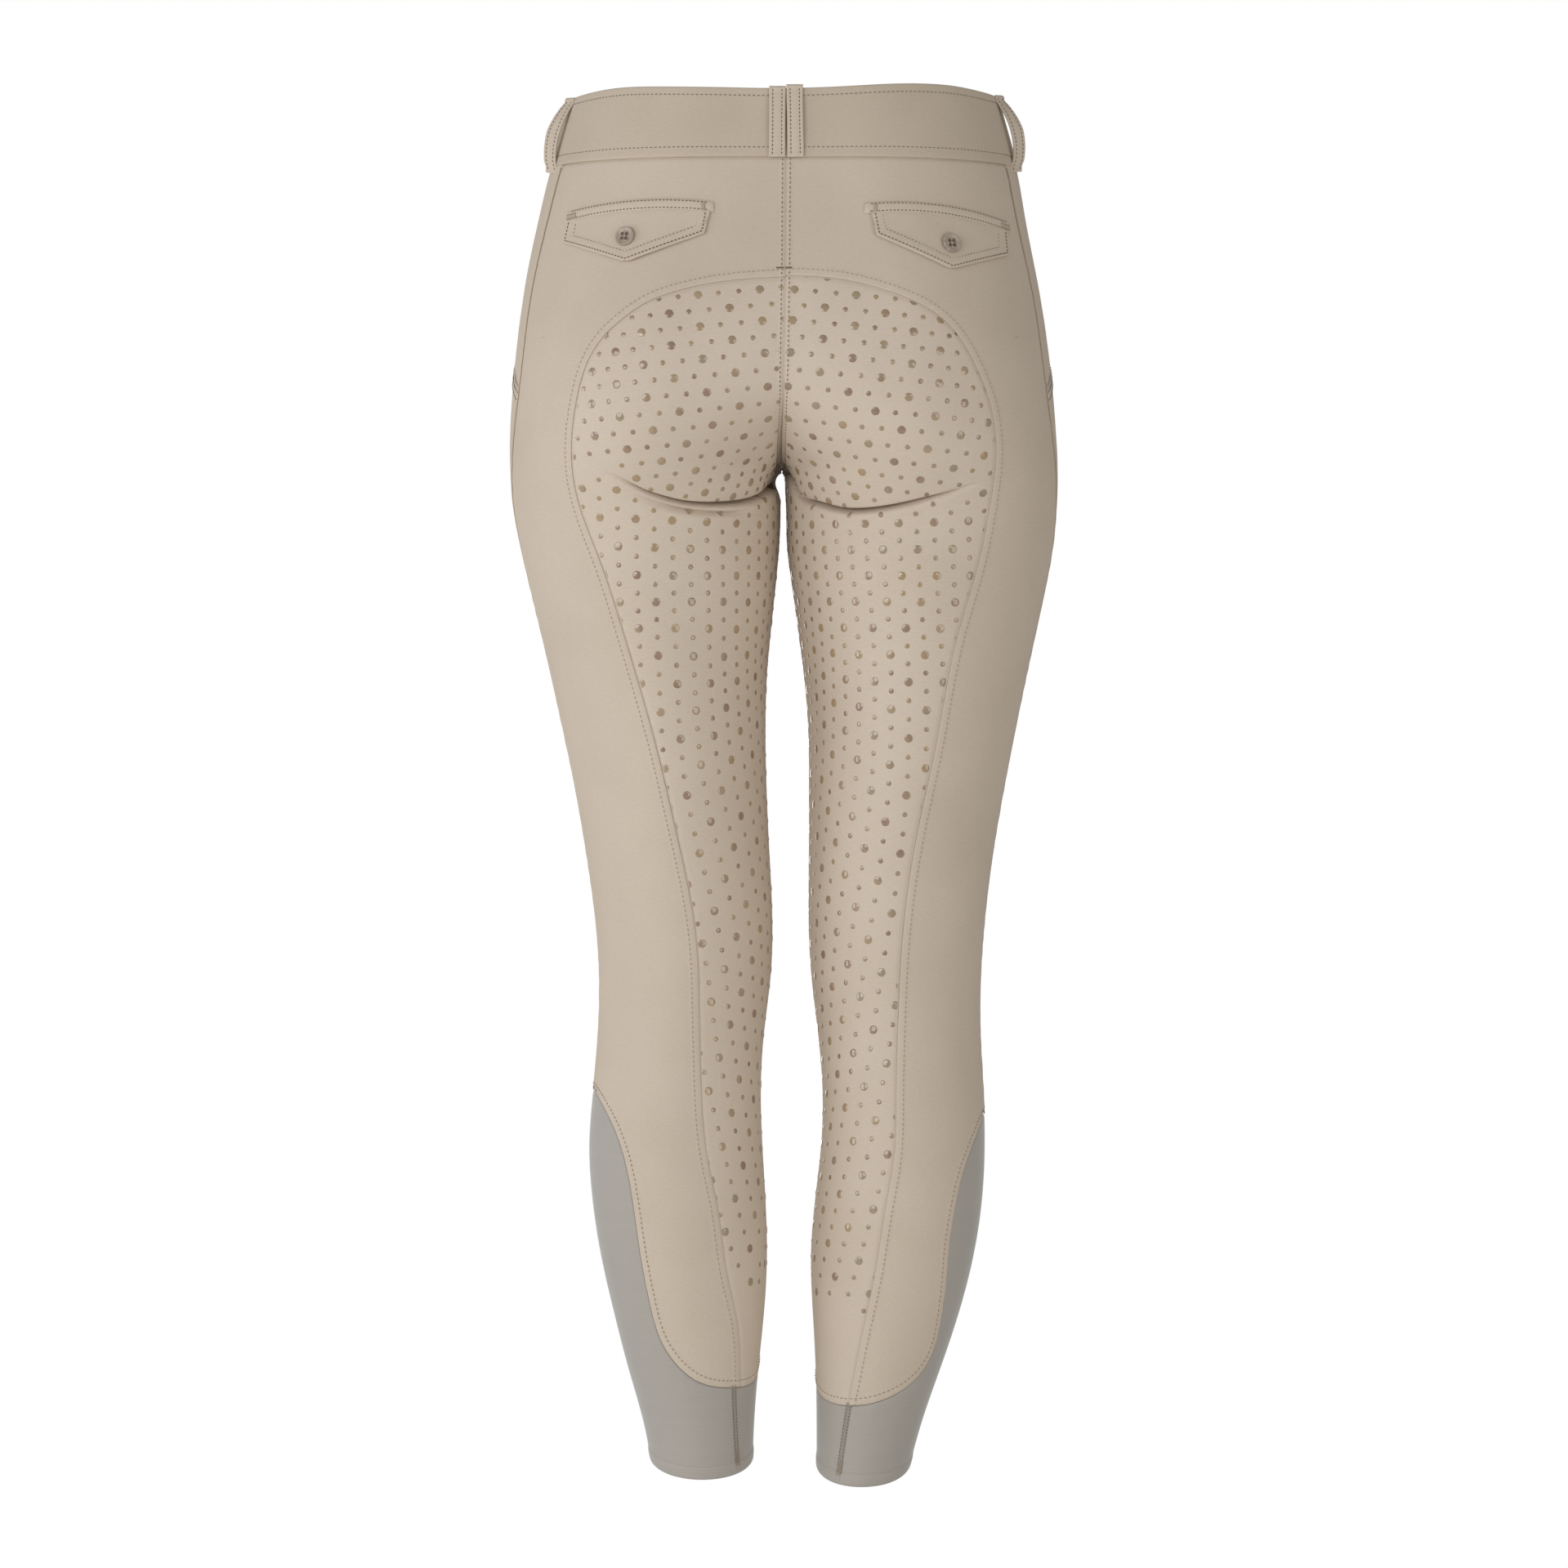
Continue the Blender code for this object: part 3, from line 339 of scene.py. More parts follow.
def bareNormal(side, turn, level):
    du, dz = 0.002, 0.4
    around = bareSurface(side, turn + du, level) - bareSurface(side, turn - du, level)
    down = bareSurface(side, turn, level + dz) - bareSurface(side, turn, level - dz)
    normal = side * np.cross(down, around)
    normal /= np.linalg.norm(normal, axis=1)[:, None]
    seam = (np.abs(turn) > 0.9995) & (level > crotch - halfGap)  # halves meet in the middle plane
    flat = normal * np.array([0, 1, 1])
    square = (flat ** 2).sum(axis=1)[:, None]
    mitred = np.where(square > body["mitre"], flat / np.maximum(square, body["mitre"]), [[0, 0, -1.0]])
    return np.where(seam[:, None], mitred, normal)


def runAtX(side, x, level):
    # length of cloth from the side line to an x on the back
    run, many = sectionRun(side, level, np.zeros(len(x), bool))
    return np.array([np.interp(-x[i], -side * many[i, :, 0], run[i]) for i in range(len(x))])


def turnAtRun(side, run, level):
    # place at a length of cloth from the side line, going on round the inner face of the leg
    back, front = np.zeros(len(run), bool), np.ones(len(run), bool)
    total = sectionRun(side, level, back)[0][:, -1]
    frontTotal = sectionRun(side, level, front)[0][:, -1]
    closed = sectionRun(side, level, back, False)[0][:, -1]
    turn = []
    for i in range(len(run)):
        lengths = lengthAt(samples, level[i], total[i], closed[i])
        turn.append(np.interp(run[i], lengths, samples))
    beyond = (run - total) / frontTotal
    return np.where(run > total, 1 + beyond, np.array(turn))


def place(side, x, level):
    # turn of places on the back that are given by x and level
    x, level = np.broadcast_arrays(np.asarray(x, float), np.asarray(level, float))
    x, level = x.ravel(), level.ravel()
    return turnAtRun(side, runAtX(side, x, level), level)


# Where the panels are cut: x and level on both legs, and the turn of seams that hardly show.
edgeColumns = ("leftX", "leftLevel", "rightX", "rightLevel")
seatEdge = (
    (0.0, -130.6, 0.0, -129.8),
    (39.6, -133.7, 37.9, -132.3),
    (70.7, -140.1, 70.7, -140.7),
    (92.5, -148.3, 94.1, -150.5),
    (109.0, -159.5, 109.5, -161.8),
    (120.5, -170.0, 120.4, -175.3),
    (131.5, -186.6, 129.5, -192.0),
    (138.6, -209.4, 136.9, -210.0),
    (142.8, -240.0, 142.7, -246.2),
    (140.9, -270.9, 140.4, -273.6),
    (124.5, -319.1, 130.6, -324.0),
    (106.9, -373.0, 116.5, -373.0),
    (86.7, -443.3, 102.8, -443.0),
    (74.1, -496.7, 91.5, -496.0),
    (64.3, -542.5, 83.6, -542.0),
    (59.0, -580.0, 79.4, -584.0),
    (57.4, -625.0, 77.3, -625.0),
    (56.0, -676.0, 75.8, -680.8),
    (52.1, -721.1, 74.3, -722.0),
    (44.9, -757.0, 68.3, -758.0),
    (38.4, -802.7, 61.3, -802.0),
    (32.3, -831.3, 55.3, -831.0),
    (29.8, -878.5, 43.6, -890.5),
)
sockEdge = (
    (128.9, -678.4, 136.2, -694.7),
    (120.5, -691.8, 128.8, -712.4),
    (112.4, -709.0, 121.4, -732.4),
    (105.7, -731.9, 115.7, -757.6),
    (100.7, -762.1, 111.9, -782.5),
    (95.8, -794.8, 109.8, -808.2),
    (90.8, -820.4, 107.1, -829.0),
    (82.0, -848.6, 98.9, -859.6),
    (71.5, -863.4, 84.9, -876.8),
    (58.8, -873.4, 70.0, -885.2),
    (46.1, -877.6, 56.0, -889.4),
    (29.8, -878.5, 43.6, -890.5),
)
sideSeam = (
    (0, 0.180), (-60, 0.184), (-110, 0.174), (-160, 0.159), (-205, 0.132), (-250, 0.078),
    (-300, 0.030), (-360, 0.000), (-500, -0.010), (-720, -0.010),
)
pocketMouth = (
    (0, -0.56), (-49, -0.50), (-100, -0.36), (-150, -0.16), (-178, -0.030), (-191, 0.040),
    (-203, 0.134), (-215, 0.168),
)
cut = {
    "seatCorner": -168.0,
    "hipEnd": -270.0,
    "pocketEnd": -203.0,
    "pocketJog": 3.0,
    "frontPerTurn": 250.0,
    "clothPerTurn": 215.0,
    "heelShare": 0.80,
    "sockFrontDrop": 16.0,
    "inseamFoot": 24.0,
    "sockHemTurns": (1.50, 1.92, 2.24, 3.26, 3.50),
    "hemLevel": {-1: -929.5, 1: -934.5},
    "hemBackDrop": 11.5,
    "hemFrontRise": 7.0,
    "waist": -body["bandHeight"] - halfGap,
}
mesh = {
    "rimSteps": (0, 0.7, 1.4, 2.2, 3.2, 4.0, 4.7, 5.4, 6.4, 8.4, 11.4),  # mm in from a seam
    "rimPitch": 0.8,  # mm between the points by which a seam line is found
    "rowStep": 3.3,
    "foldSteps": (
        0, 0.45, 0.9, 1.4, 2.0, 2.7, 3.4, 4.2, 5.0, 5.9, 6.9, 8.0, 9.3, 10.8, 12.6, 14.8, 17.4,
    ),
    "foldReach": (46.0, 60.0),  # rows this far above and below the fold are drawn towards it
    "foldEnds": 12.0,
    "arch": 185, "hip": 102, "leg": 415, "calf": 200,  # rough length of each block of rows
    "narrow": 40,  # a panel narrower than this has its columns closer at the seams
    "columns": {"seat": 26, "back": 12, "front": 34},
    "seamGap": 0.05,  # half of what is left open between two panels
}
sideTurn = columnSplines(("level", "turn"), sideSeam)["turn"]
mouthTurn = columnSplines(("level", "turn"), pocketMouth)["turn"]


def sideName(side):
    return "Right" if side > 0 else "Left"


def nodeName(part, side):
    return part + "_" + sideName(side).lower()


def inseamTurn(level):
    return body["inseamTurn"] * smoothStep((crotch - level) / body["inseamDrop"])


def drawnAt(at, run, points):
    # what lies at lengths of a line of points, coordinate by coordinate
    return np.stack([np.interp(at, run, points[:, k]) for k in range(points.shape[1])], axis=-1)


def outline(rows, side):
    table = np.array(rows, float)
    first = edgeColumns.index(sideName(side).lower() + "X")
    knots = table[:, first:first + 2]
    run = runOf(knots)
    at = np.linspace(0, run[-1], 500)
    x, level = spline(run, knots[:, 0])(at), spline(run, knots[:, 1])(at)
    return np.stack([place(side, x, level), level], axis=1)


def shareOf(line, shares):
    return drawnAt(np.asarray(shares) * (len(line) - 1), np.arange(len(line)), line)


def atLevels(line, levels):
    falling = line[line[:, 1] < cut["seatCorner"] + 2]
    return np.interp(-np.asarray(levels), -falling[:, 1], falling[:, 0])


def centreLevels(side, front, top, shares):
    level = crotch + (top - crotch) * (1 - np.linspace(0, 1, 400)) ** 2
    points = bareSurface(side, np.full(400, -1.0 if front else 1.0), level)
    run = runOf(points)
    return np.interp(shares * run[-1], run, level)


def joined(*pieces):
    return np.concatenate([pieces[0]] + [piece[1:] for piece in pieces[1:]])


def places(turn, level):
    turn, level = np.broadcast_arrays(np.asarray(turn, float), np.asarray(level, float))
    return np.stack([turn, level], axis=-1)


def evenSteps(start, end, step):
    count = max(int(round((end - start) / step)), 1)
    return start + (end - start) * np.arange(1, count + 1) / count


def blockShares(name, first, last):
    # shares down a block of rows whose first and last rows stand close together
    length = mesh[name]
    middle = evenSteps(first[-1], length - last[-1], mesh["rowStep"])
    return np.concatenate([first, middle, (length - last[::-1])[1:]]) / length


def rowShares():
    seam, fold, end = np.array(mesh["rimSteps"]), np.array(mesh["foldSteps"]), np.zeros(1)
    return (
        blockShares("arch", seam, end), blockShares("hip", seam, fold),
        blockShares("leg", fold, seam), blockShares("calf", end, seam),
    )


def seams(side):
    edge, sock = outline(seatEdge, side), outline(sockEdge, side)
    turn = np.argmin(edge[:, 1] > cut["seatCorner"])
    arch, hip, leg, calf = rowShares()
    sockTop, foot, waist = sock[0, 1], edge[-1, 1], cut["waist"]
    inseamTop = sockTop - cut["sockFrontDrop"]

    edgeHip = cut["seatCorner"] + (cut["hipEnd"] - cut["seatCorner"]) * hip
    edgeLeg = cut["hipEnd"] + (sockTop - cut["hipEnd"]) * leg
    edgeCalf = sockTop + (foot - sockTop) * calf
    sideHip = waist + (cut["hipEnd"] - waist) * hip
    end = np.argmin(np.abs(sideHip - cut["pocketEnd"]))
    sideHip[end] = cut["pocketEnd"]
    sideHip[end + 1] = cut["pocketEnd"] - cut["pocketJog"]
    innerLeg = crotch + (inseamTop - crotch) * leg
    innerCalf = inseamTop + (foot + cut["inseamFoot"] - inseamTop) * calf
    line = {
        "arch": shareOf(edge[:turn + 1], arch),
        "edgeHip": places(atLevels(edge, edgeHip), edgeHip),
        "edgeLeg": places(atLevels(edge, edgeLeg), edgeLeg),
        "edgeCalf": places(atLevels(edge, edgeCalf), edgeCalf),
        "sideHip": places(sideTurn(sideHip), sideHip),
        "sideLeg": places(sideTurn(edgeLeg), edgeLeg),
        "sockCalf": shareOf(sock, calf * cut["heelShare"]),
        "sockFoot": shareOf(sock, np.linspace(1, cut["heelShare"], 60)),
        "centreBack": places(1.0, centreLevels(side, False, edge[0, 1], hip)),
        "centreFront": places(-1.0, centreLevels(side, True, waist, hip)),
        "inseamLeg": places(1 + inseamTurn(innerLeg), innerLeg),
        "inseamCalf": places(1 + inseamTurn(innerCalf), innerCalf),
    }
    line["arch"][0, 0] = 1.0
    line["arch"][-1] = line["edgeHip"][0]
    line["sideLeg"][-1] = sock[0]
    line["edgeCalf"][-1] = sock[-1]
    line["archLine"] = shareOf(edge[:turn + 1], np.linspace(0, 1, 300))
    line["archLine"][0, 0] = 1.0
    line["archLine"][-1] = line["edgeHip"][0]
    line["waistBack"] = places(1 + (sideTurn(waist) - 1) * arch, waist)
    line["sideHip"][0] = line["waistBack"][-1]
    line["topBack"] = places(1.0, np.linspace(edge[0, 1], waist, 40))
    across = np.linspace(0, 1, 80)
    footTurn = 1 + inseamTurn(innerCalf[-1]) + (sock[-1, 0] - 1 - body["inseamTurn"]) * across
    line["footSeat"] = places(footTurn, foot + cut["inseamFoot"] * (1 - across) ** 2)
    mouth = sideHip[:end + 1]
    line["mouth"] = places(mouthTurn(mouth), mouth)
    line["facingSide"] = line["sideHip"][:end + 1]
    line["waistFront"] = places(
        mouthTurn(waist) + (-1 - mouthTurn(waist)) * across, waist
    )
    frontEnd = -1 + inseamTurn(inseamTop)
    line["sockFront"] = places(
        sock[0, 0] + (frontEnd - sock[0, 0]) * across,
        sockTop + (inseamTop - sockTop) * smoothStep(across),
    )
    line["sock"] = sock
    line["outlineEdge"] = edge
    line["innerCalfEnds"] = (inseamTop, innerCalf[-1])
    return line


def patch(left, right, top, bottom, across):
    down = np.linspace(0, 1, len(left))[:, None, None]
    share = across[..., None]
    topAt, bottomAt = shareOf(top, across), shareOf(bottom, across)
    sides = (1 - share) * left[:, None] + share * right[:, None]
    ends = (1 - down) * topAt + down * bottomAt
    corners = (
        (1 - share) * (1 - down) * left[0] + share * (1 - down) * right[0]
        + (1 - share) * down * left[-1] + share * down * right[-1]
    )
    return sides + ends - corners


def panelGrid(side, left, right, top, bottom, columns):
    # columns stand at fixed distances from both seams, whatever the width of the panel is there
    rough = patch(left, right, top, bottom, np.linspace(0, 1, 9)[None] + np.zeros((len(left), 1)))
    points = surface(side, rough[..., 0], rough[..., 1])[0]
    widths = np.linalg.norm(np.diff(points, axis=1), axis=2).sum(axis=1)
    steps = np.array(mesh["rimSteps"])[None] * np.minimum(1, widths / mesh["narrow"])[:, None]
    middle = (widths - 2 * steps[:, -1])[:, None]
    inner = steps[:, -1:] + middle * np.arange(1, columns)[None] / columns
    across = np.concatenate([steps, inner, widths[:, None] - steps[:, ::-1]], axis=1)
    return patch(left, right, top, bottom, across / widths[:, None])


def surface(side, turn, level):
    shape = np.shape(turn)
    turn, level = np.ravel(turn).astype(float), np.ravel(level).astype(float)
    points, normals = np.zeros((len(level), 3)), np.zeros((len(level), 3))
    over = (turn < -1) & (level > crotch)  # past the centre front a place lies on the other half
    for mask, partSide, partTurn in ((~over, side, turn), (over, -side, -2 - turn)):
        if mask.any():
            points[mask] = bareSurface(partSide, partTurn[mask], level[mask])
            normals[mask] = bareNormal(partSide, partTurn[mask], level[mask])
    return points.reshape(*shape, 3), normals.reshape(*shape, 3)


# Relief of the cloth. For each kind of seam: depth and width of the dip at it, height of the
# folded allowance, rows of stitches in from it, pucker, and the share of painted shade on its
# stitches.
rimColumns = ("valley", "width", "raised", "stitches", "pucker", "dark")
rimKinds = {
    "side": (2.1, 2.0, 0.22, (), 0.14, 1.0),
    "plain": (0.75, 1.5, 0.10, (), 0.10, 1.0),
    "low": (0.85, 1.7, 0.0, (), 0.12, 1.0),
    "centre": (0.85, 1.1, 0.30, (2.6,), 0.10, 0.75),
    "topstitched": (0.30, 0.7, 0.26, (4.7,), 0.14, 0.28),
    "border": (0.40, 0.9, 0.30, (4.6,), 0.18, 0.5),
    "waist": (1.05, 1.3, 0.0, (), 0.12, 1.0),
    "mouth": (0.5, 0.8, 0.35, (2.0, 7.0), 0.10, 1.0),
}
rimKinds = {kind: dict(zip(rimColumns, row)) for kind, row in rimKinds.items()}
rimShape = {
    "plainWidth": 3.0,  # allowance of a seam with no stitches
    "slope": 1.7,
    "groove": 0.05,
    "grooveWidth": 0.75,
    "puckerAt": 3.4,
    "puckerWidth": 4.2,
    "deepest": -2.0,
}
# Folds over the top of the thigh: x, level, depth, width above and below, lip under it.
seatFolds = {
    -1: (
        ((-4, -262, 2.0, 5.0, 3.0, 0.2), (3.6, -268, 4.6, 5.5, 2.4, 0.2),
         (14.1, -275.9, 5.0, 7.0, 2.2, 0.4), (21.8, -279.1, 4.6, 8.0, 1.8, 0.7),
         (37.7, -281.9, 3.8, 8.5, 1.5, 1.0), (54.0, -282.6, 3.0, 8.0, 1.5, 0.9),
         (71.1, -281.0, 2.4, 6.0, 1.6, 0.6), (84.0, -277.8, 2.0, 4.6, 1.8, 0.4),
         (96.2, -273.2, 1.3, 4.4, 2.2, 0.2), (110.4, -265.4, 0.5, 4.4, 3.0, 0.0),
         (122.0, -260.0, 0.0, 4.4, 3.0, 0.0)),
        ((22.0, -283.6, 0.0, 1.2, 1.6, 0.3), (30.0, -286.3, 3.0, 1.2, 1.5, 1.0),
         (45.0, -287.4, 5.0, 1.3, 1.5, 1.3), (61.2, -286.8, 5.4, 1.3, 1.6, 1.2),
         (76.0, -284.2, 4.6, 1.2, 1.8, 0.8), (91.3, -279.8, 2.4, 1.3, 2.0, 0.4),
         (104.0, -273.6, 0.4, 1.6, 2.4, 0.0)),
    ),
    1: (
        ((-4, -254, 0.6, 5.0, 4.0, 0.2), (1.9, -261.0, 2.2, 6.0, 2.6, 0.2),
         (6.9, -272.0, 3.0, 7.0, 2.4, 0.2), (16.9, -279.6, 3.2, 8.0, 2.0, 0.5),
         (34.4, -285.0, 3.4, 8.5, 1.5, 1.0), (54.7, -286.3, 3.2, 8.0, 1.4, 1.0),
         (77.1, -283.6, 2.7, 6.5, 1.6, 0.7), (100.1, -278.3, 1.7, 5.5, 2.0, 0.3),
         (114.9, -273.9, 0.8, 5.0, 2.6, 0.1), (130.0, -268.0, 0.0, 5.0, 3.0, 0.0)),
    ),
}
# Soft creases elsewhere: panel, side, turn and level at both ends, sag, width, depth.
softCreases = (
    ("front", -1, -0.95, -248, -0.48, -210, -4, 5.0, 1.9),
    ("front", -1, -0.93, -263, -0.40, -256, -6, 5.5, 2.4),
    ("front", -1, -0.84, -288, -0.36, -302, -3, 7.0, 1.6),
    ("front", 1, -0.96, -242, -0.52, -202, -5, 4.8, 1.8),
    ("front", 1, -0.93, -260, -0.36, -262, -7, 5.5, 2.5),
    ("front", 1, -0.82, -286, -0.42, -307, -2, 6.5, 1.5),
    ("front", -1, -0.92, -562, -0.32, -576, -5, 7.0, 1.3),
    ("front", -1, -0.86, -590, -0.46, -596, -3, 7.0, 0.9),
    ("front", 1, -0.88, -570, -0.28, -556, -6, 7.0, 1.3),
    ("front", 1, -0.80, -594, -0.42, -586, -3, 7.0, 0.9),
    ("seat", 1, 0.990, -253, 0.905, -236, 1, 2.2, 0.55),
    ("seat", 1, 0.980, -259, 0.840, -243, 2, 2.4, 0.50),
    ("seat", 1, 0.975, -228, 0.964, -203, 1, 3.0, 0.45),
    ("seat", -1, 0.976, -232, 0.955, -200, 1, 3.0, 0.60),
    ("back", -1, 0.60, -132, 0.34, -150, -2, 6.0, 0.25),
    ("back", 1, 0.62, -134, 0.30, -158, -3, 6.0, 0.30),
)
foldShape = {
    "flank": 1.15,  # power of a fold's flank: 1 is a sharp bottom, 2 a round one
    "slit": 2.941,  # of the pinched line at the bottom of the main fold, to the fold's own depth
    "slitWidth": 0.95,
    "lipDrop": 2.4,
    "lipWidth": 2.6,
}
creaseShape = {"ridge": 0.55, "ridgeOff": 1.6, "ends": 0.8}


def foldLevel(side, x):
    table = np.array(seatFolds[side][0])
    return spline(table[:, 0], table[:, 1])(x)


def alongFold(side, grid, row):
    # rows near the fold slide down or up the cloth until this one lies in it
    points = surface(side, grid[..., 0], grid[..., 1])[0]
    run = rowRuns(points)
    edge = np.minimum(run, run[:, -1:] - run)
    above, below = mesh["foldReach"]
    off = grid[..., 1] - grid[row, :, 1]
    near = 1 - smoothStep(np.abs(off) / np.where(off > 0, above, below))
    wanted = foldLevel(side, side * points[row, :, 0]) - grid[row, :, 1]
    moved = grid.copy()
    moved[..., 1] += wanted[None] * near * smoothStep(edge / mesh["foldEnds"])
    return moved


def foldRelief(side, x, level):
    shape = foldShape
    total = np.zeros(len(x))
    for n, knots in enumerate(seatFolds[side]):
        table = np.array(knots)
        line, depth, above, below, lip = (
            spline(table[:, 0], table[:, k])(x) for k in (1, 2, 3, 4, 5)
        )
        inside = (x > table[0, 0]) & (x < table[-1, 0])
        off = level - line
        width = np.where(off > 0, above, below)
        trough = np.exp(-(np.abs(off) / np.maximum(width, 0.5)) ** shape["flank"])
        if n == 0:
            trough = trough + shape["slit"] * bell(off / shape["slitWidth"])
        ridge = bell((off + below + shape["lipDrop"]) / shape["lipWidth"])
        total += np.where(inside, np.maximum(lip, 0) * ridge - np.maximum(depth, 0) * trough, 0)
    return total


def creaseRelief(panelName, side, turn, level):
    total = np.zeros(len(turn))
    for name, rowSide, turnA, levelA, turnB, levelB, sag, width, depth in softCreases:
        if name != panelName or rowSide != side:
            continue
        share = (turn - turnA) / (turnB - turnA)
        inside = np.clip(share, 0, 1)
        line = levelA + (levelB - levelA) * inside + sag * 4 * inside * (1 - inside)
        fade = np.where(np.abs(share - 0.5) < 0.5, np.sin(math.pi * inside) ** creaseShape["ends"], 0)
        off = (level - line) / width
        ridge = creaseShape["ridge"] * bell(off + creaseShape["ridgeOff"])
        total += fade * depth * (ridge - bell(off))
    return total


cleft = {
    "innerFaces": (0.78, 0.16),  # turn where they start, and turn over which they set in
    "legsApart": {-1: (3.4, -264.0, 6.5), 1: (0.5, -264.0, 6.0)},  # depth, level and half height
    "legsBelow": 3.0,
    "thighsApart": 0.9,
    "thighsMeet": (-320.0, 60.0),
    "valley": {-1: 3.4, 1: 1.6},
    "valleyWidth": 4.6,
    "valleyTop": (-206.0, 45.0),
    "valleyFoot": 8.0,
}


def cleftRelief(side, turn, level):
    # inner faces of the thighs stand apart just under the crotch
    start, over = cleft["innerFaces"]
    inward = smoothStep((np.abs(turn) - start) / over)
    inward = inward * smoothStep((crotch - level) / cleft["legsBelow"])
    depth, middle, half = cleft["legsApart"][side]
    start, over = cleft["thighsMeet"]
    apart = cleft["thighsApart"] * (1 - smoothStep((start - level) / over))
    return -inward * (depth * bell((level - middle) / half) + apart)


def cleftValley(side, dist, level):
    # dip along the centre seam, deepest where the seat is fullest
    (top, over), foot = cleft["valleyTop"], cleft["valleyFoot"]
    deep = smoothStep((top - level) / over) * smoothStep((level - crotch + foot) / foot)
    return cleft["valley"][side] * bell(dist / cleft["valleyWidth"]) * deep


def slowWave(arc, seed):
    # uneven wave, so that the puckers along a seam don't repeat
    return np.sin(arc / 2.0 + 1.6 * np.sin(arc / 9.7 + seed) + seed) * (
        0.55 + 0.45 * np.sin(arc / 14.3 + 2.1 * seed)
    )


def rimRelief(size, dist, arc, seed):
    shape = rimShape
    last = max(size["stitches"], default=shape["plainWidth"])
    lift = size["raised"] * smoothStep((last + shape["slope"] - dist) / shape["slope"])
    lift -= size["valley"] * bell(dist / size["width"])
    for row in size["stitches"]:
        lift -= shape["groove"] * bell((dist - row) / shape["grooveWidth"])
    near = bell((dist - shape["puckerAt"]) / shape["puckerWidth"])
    return lift + size["pucker"] * slowWave(arc, seed) * near


def makeRim(side, line, kind, inward, seed):
    # inward is 1 where the panel lies on the left of the line seen from outside the garment
    points = surface(side, line[:, 0], line[:, 1])[0]
    run = runOf(points)
    at = np.linspace(0, run[-1], int(run[-1] / mesh["rimPitch"]) + 2)
    dense = drawnAt(at, run, line)
    points = surface(side, dense[:, 0], dense[:, 1])[0]
    tree = mathutils.kdtree.KDTree(len(points))
    for i, point in enumerate(points):
        tree.insert(point, i)
    tree.balance()
    return {"tree": tree, "arc": at, "kind": kind, "line": dense, "inward": inward, "seed": seed}


def reliefAt(panel, turn, level, points):
    side, isSeat = panel["side"], panel["name"] == "seat"
    lift, folded = np.zeros(len(points)), 0
    for rim in panel["rims"]:
        found = zip(*(rim["tree"].find(point)[1:] for point in points))
        index, dist = (np.array(column) for column in found)
        lift += rimRelief(rimKinds[rim["kind"]], dist, rim["arc"][index], rim["seed"])
        if rim["kind"] == "centre" and isSeat:
            folded = foldRelief(side, side * points[:, 0], level) - cleftValley(side, dist, level)
    lift = np.maximum(lift, rimShape["deepest"]) + cleftRelief(side, turn, level) + folded
    return lift + creaseRelief(panel["name"], side, turn, level)


def clothAt(panel, turn, level, height=0.0):
    # a place on a panel with its seams and folds; height is how far outside the cloth it stands
    shape = np.shape(turn)
    turn, level = np.ravel(turn).astype(float), np.ravel(level).astype(float)
    points, normals = surface(panel["side"], turn, level)
    lift = reliefAt(panel, turn, level, points) + np.ravel(height)
    return (points + normals * lift[:, None]).reshape(*shape, 3), normals.reshape(*shape, 3)


def steadyPlaces(side, turn, level):
    # point, normal and the two slopes of the surface at places, for moving over it in mm
    back = np.where(turn > 0, -1.0, 1.0)
    points, normals = surface(side, turn, level)
    du, dz = 0.004, 0.8
    around = (surface(side, turn + back * du, level)[0] - points) / (back * du)[:, None]
    down = (surface(side, turn, level - dz)[0] - points) / -dz
    return points, normals, around, down


def slidAlong(turn, level, around, down, offset):
    # places that lie at 3-D offsets from other places, along the surface's two slopes there
    aa, ad, dd = (around ** 2).sum(-1), (around * down).sum(-1), (down ** 2).sum(-1)
    ra, rd = (around * offset).sum(-1), (down * offset).sum(-1)
    det = aa * dd - ad * ad
    return turn + (ra * dd - rd * ad) / det, level + (rd * aa - ra * ad) / det


def offsetLine(side, line, inward, distance, step=2.0):
    # line of places at a distance inside a seam line
    run = runOf(surface(side, line[:, 0], line[:, 1])[0])
    turn, level = drawnAt(np.linspace(0, run[-1], int(run[-1] / step) + 2), run, line).T
    points, normals, around, down = steadyPlaces(side, turn, level)
    across = np.cross(normals, np.gradient(points, axis=0)) * inward
    across /= np.linalg.norm(across, axis=1)[:, None]
    return np.stack(slidAlong(turn, level, around, down, across * distance), axis=1)


# Finishes: colours, and the sizes of weave and knit in mm.
weave = {
    "lit": "#CFC1B0",
    "deep": "#BDAE9C",
    "bandLit": "#C8BAA8",
    "bandDeep": "#B6A794",
    "seatLit": "#D3C5B5",
    "seatDeep": "#C1B19F",
    "twillPitch": 1.2,  # mm; the real one is near 0.5, drawn coarser so that it shows
    "twillLean": 27.0,  # degrees
    "jersey": "#AEA8A0",
    "jerseyDeep": "#9A938B",
    "cover": "#A0988E",
    "coverDeep": "#867D72",
    "jerseyPitch": 1.9,  # mm between the faint rows of the jersey, also coarser than real
    "dot": "#A99276",
    "dotDeep": "#8E7460",
    "dotOlive": "#9A8A70",
    "dotGold": "#A38B69",
    "thread": "#C6B7A3",
    "threadDeep": "#B5A48E",
    # dark colour painted on the thread as the shade of its needle holes
    "threadPaintedShade": "#5E4F41",
    "button": "#B3A495",
    "buttonDeep": "#98887A",
    # brown, olive and gold clouds in the silicone: size and where they set in
    "clouds": ((60.0, 0.38, 0.62, "dotDeep"), (31.0, 0.52, 0.62, "dotOlive"),
               (23.0, 0.54, 0.64, "dotGold")),
}


def newMaterial(name):
    made = bpy.data.materials.new(name)
    made.use_nodes = True
    tree = made.node_tree
    tree.nodes.clear()
    return made, tree


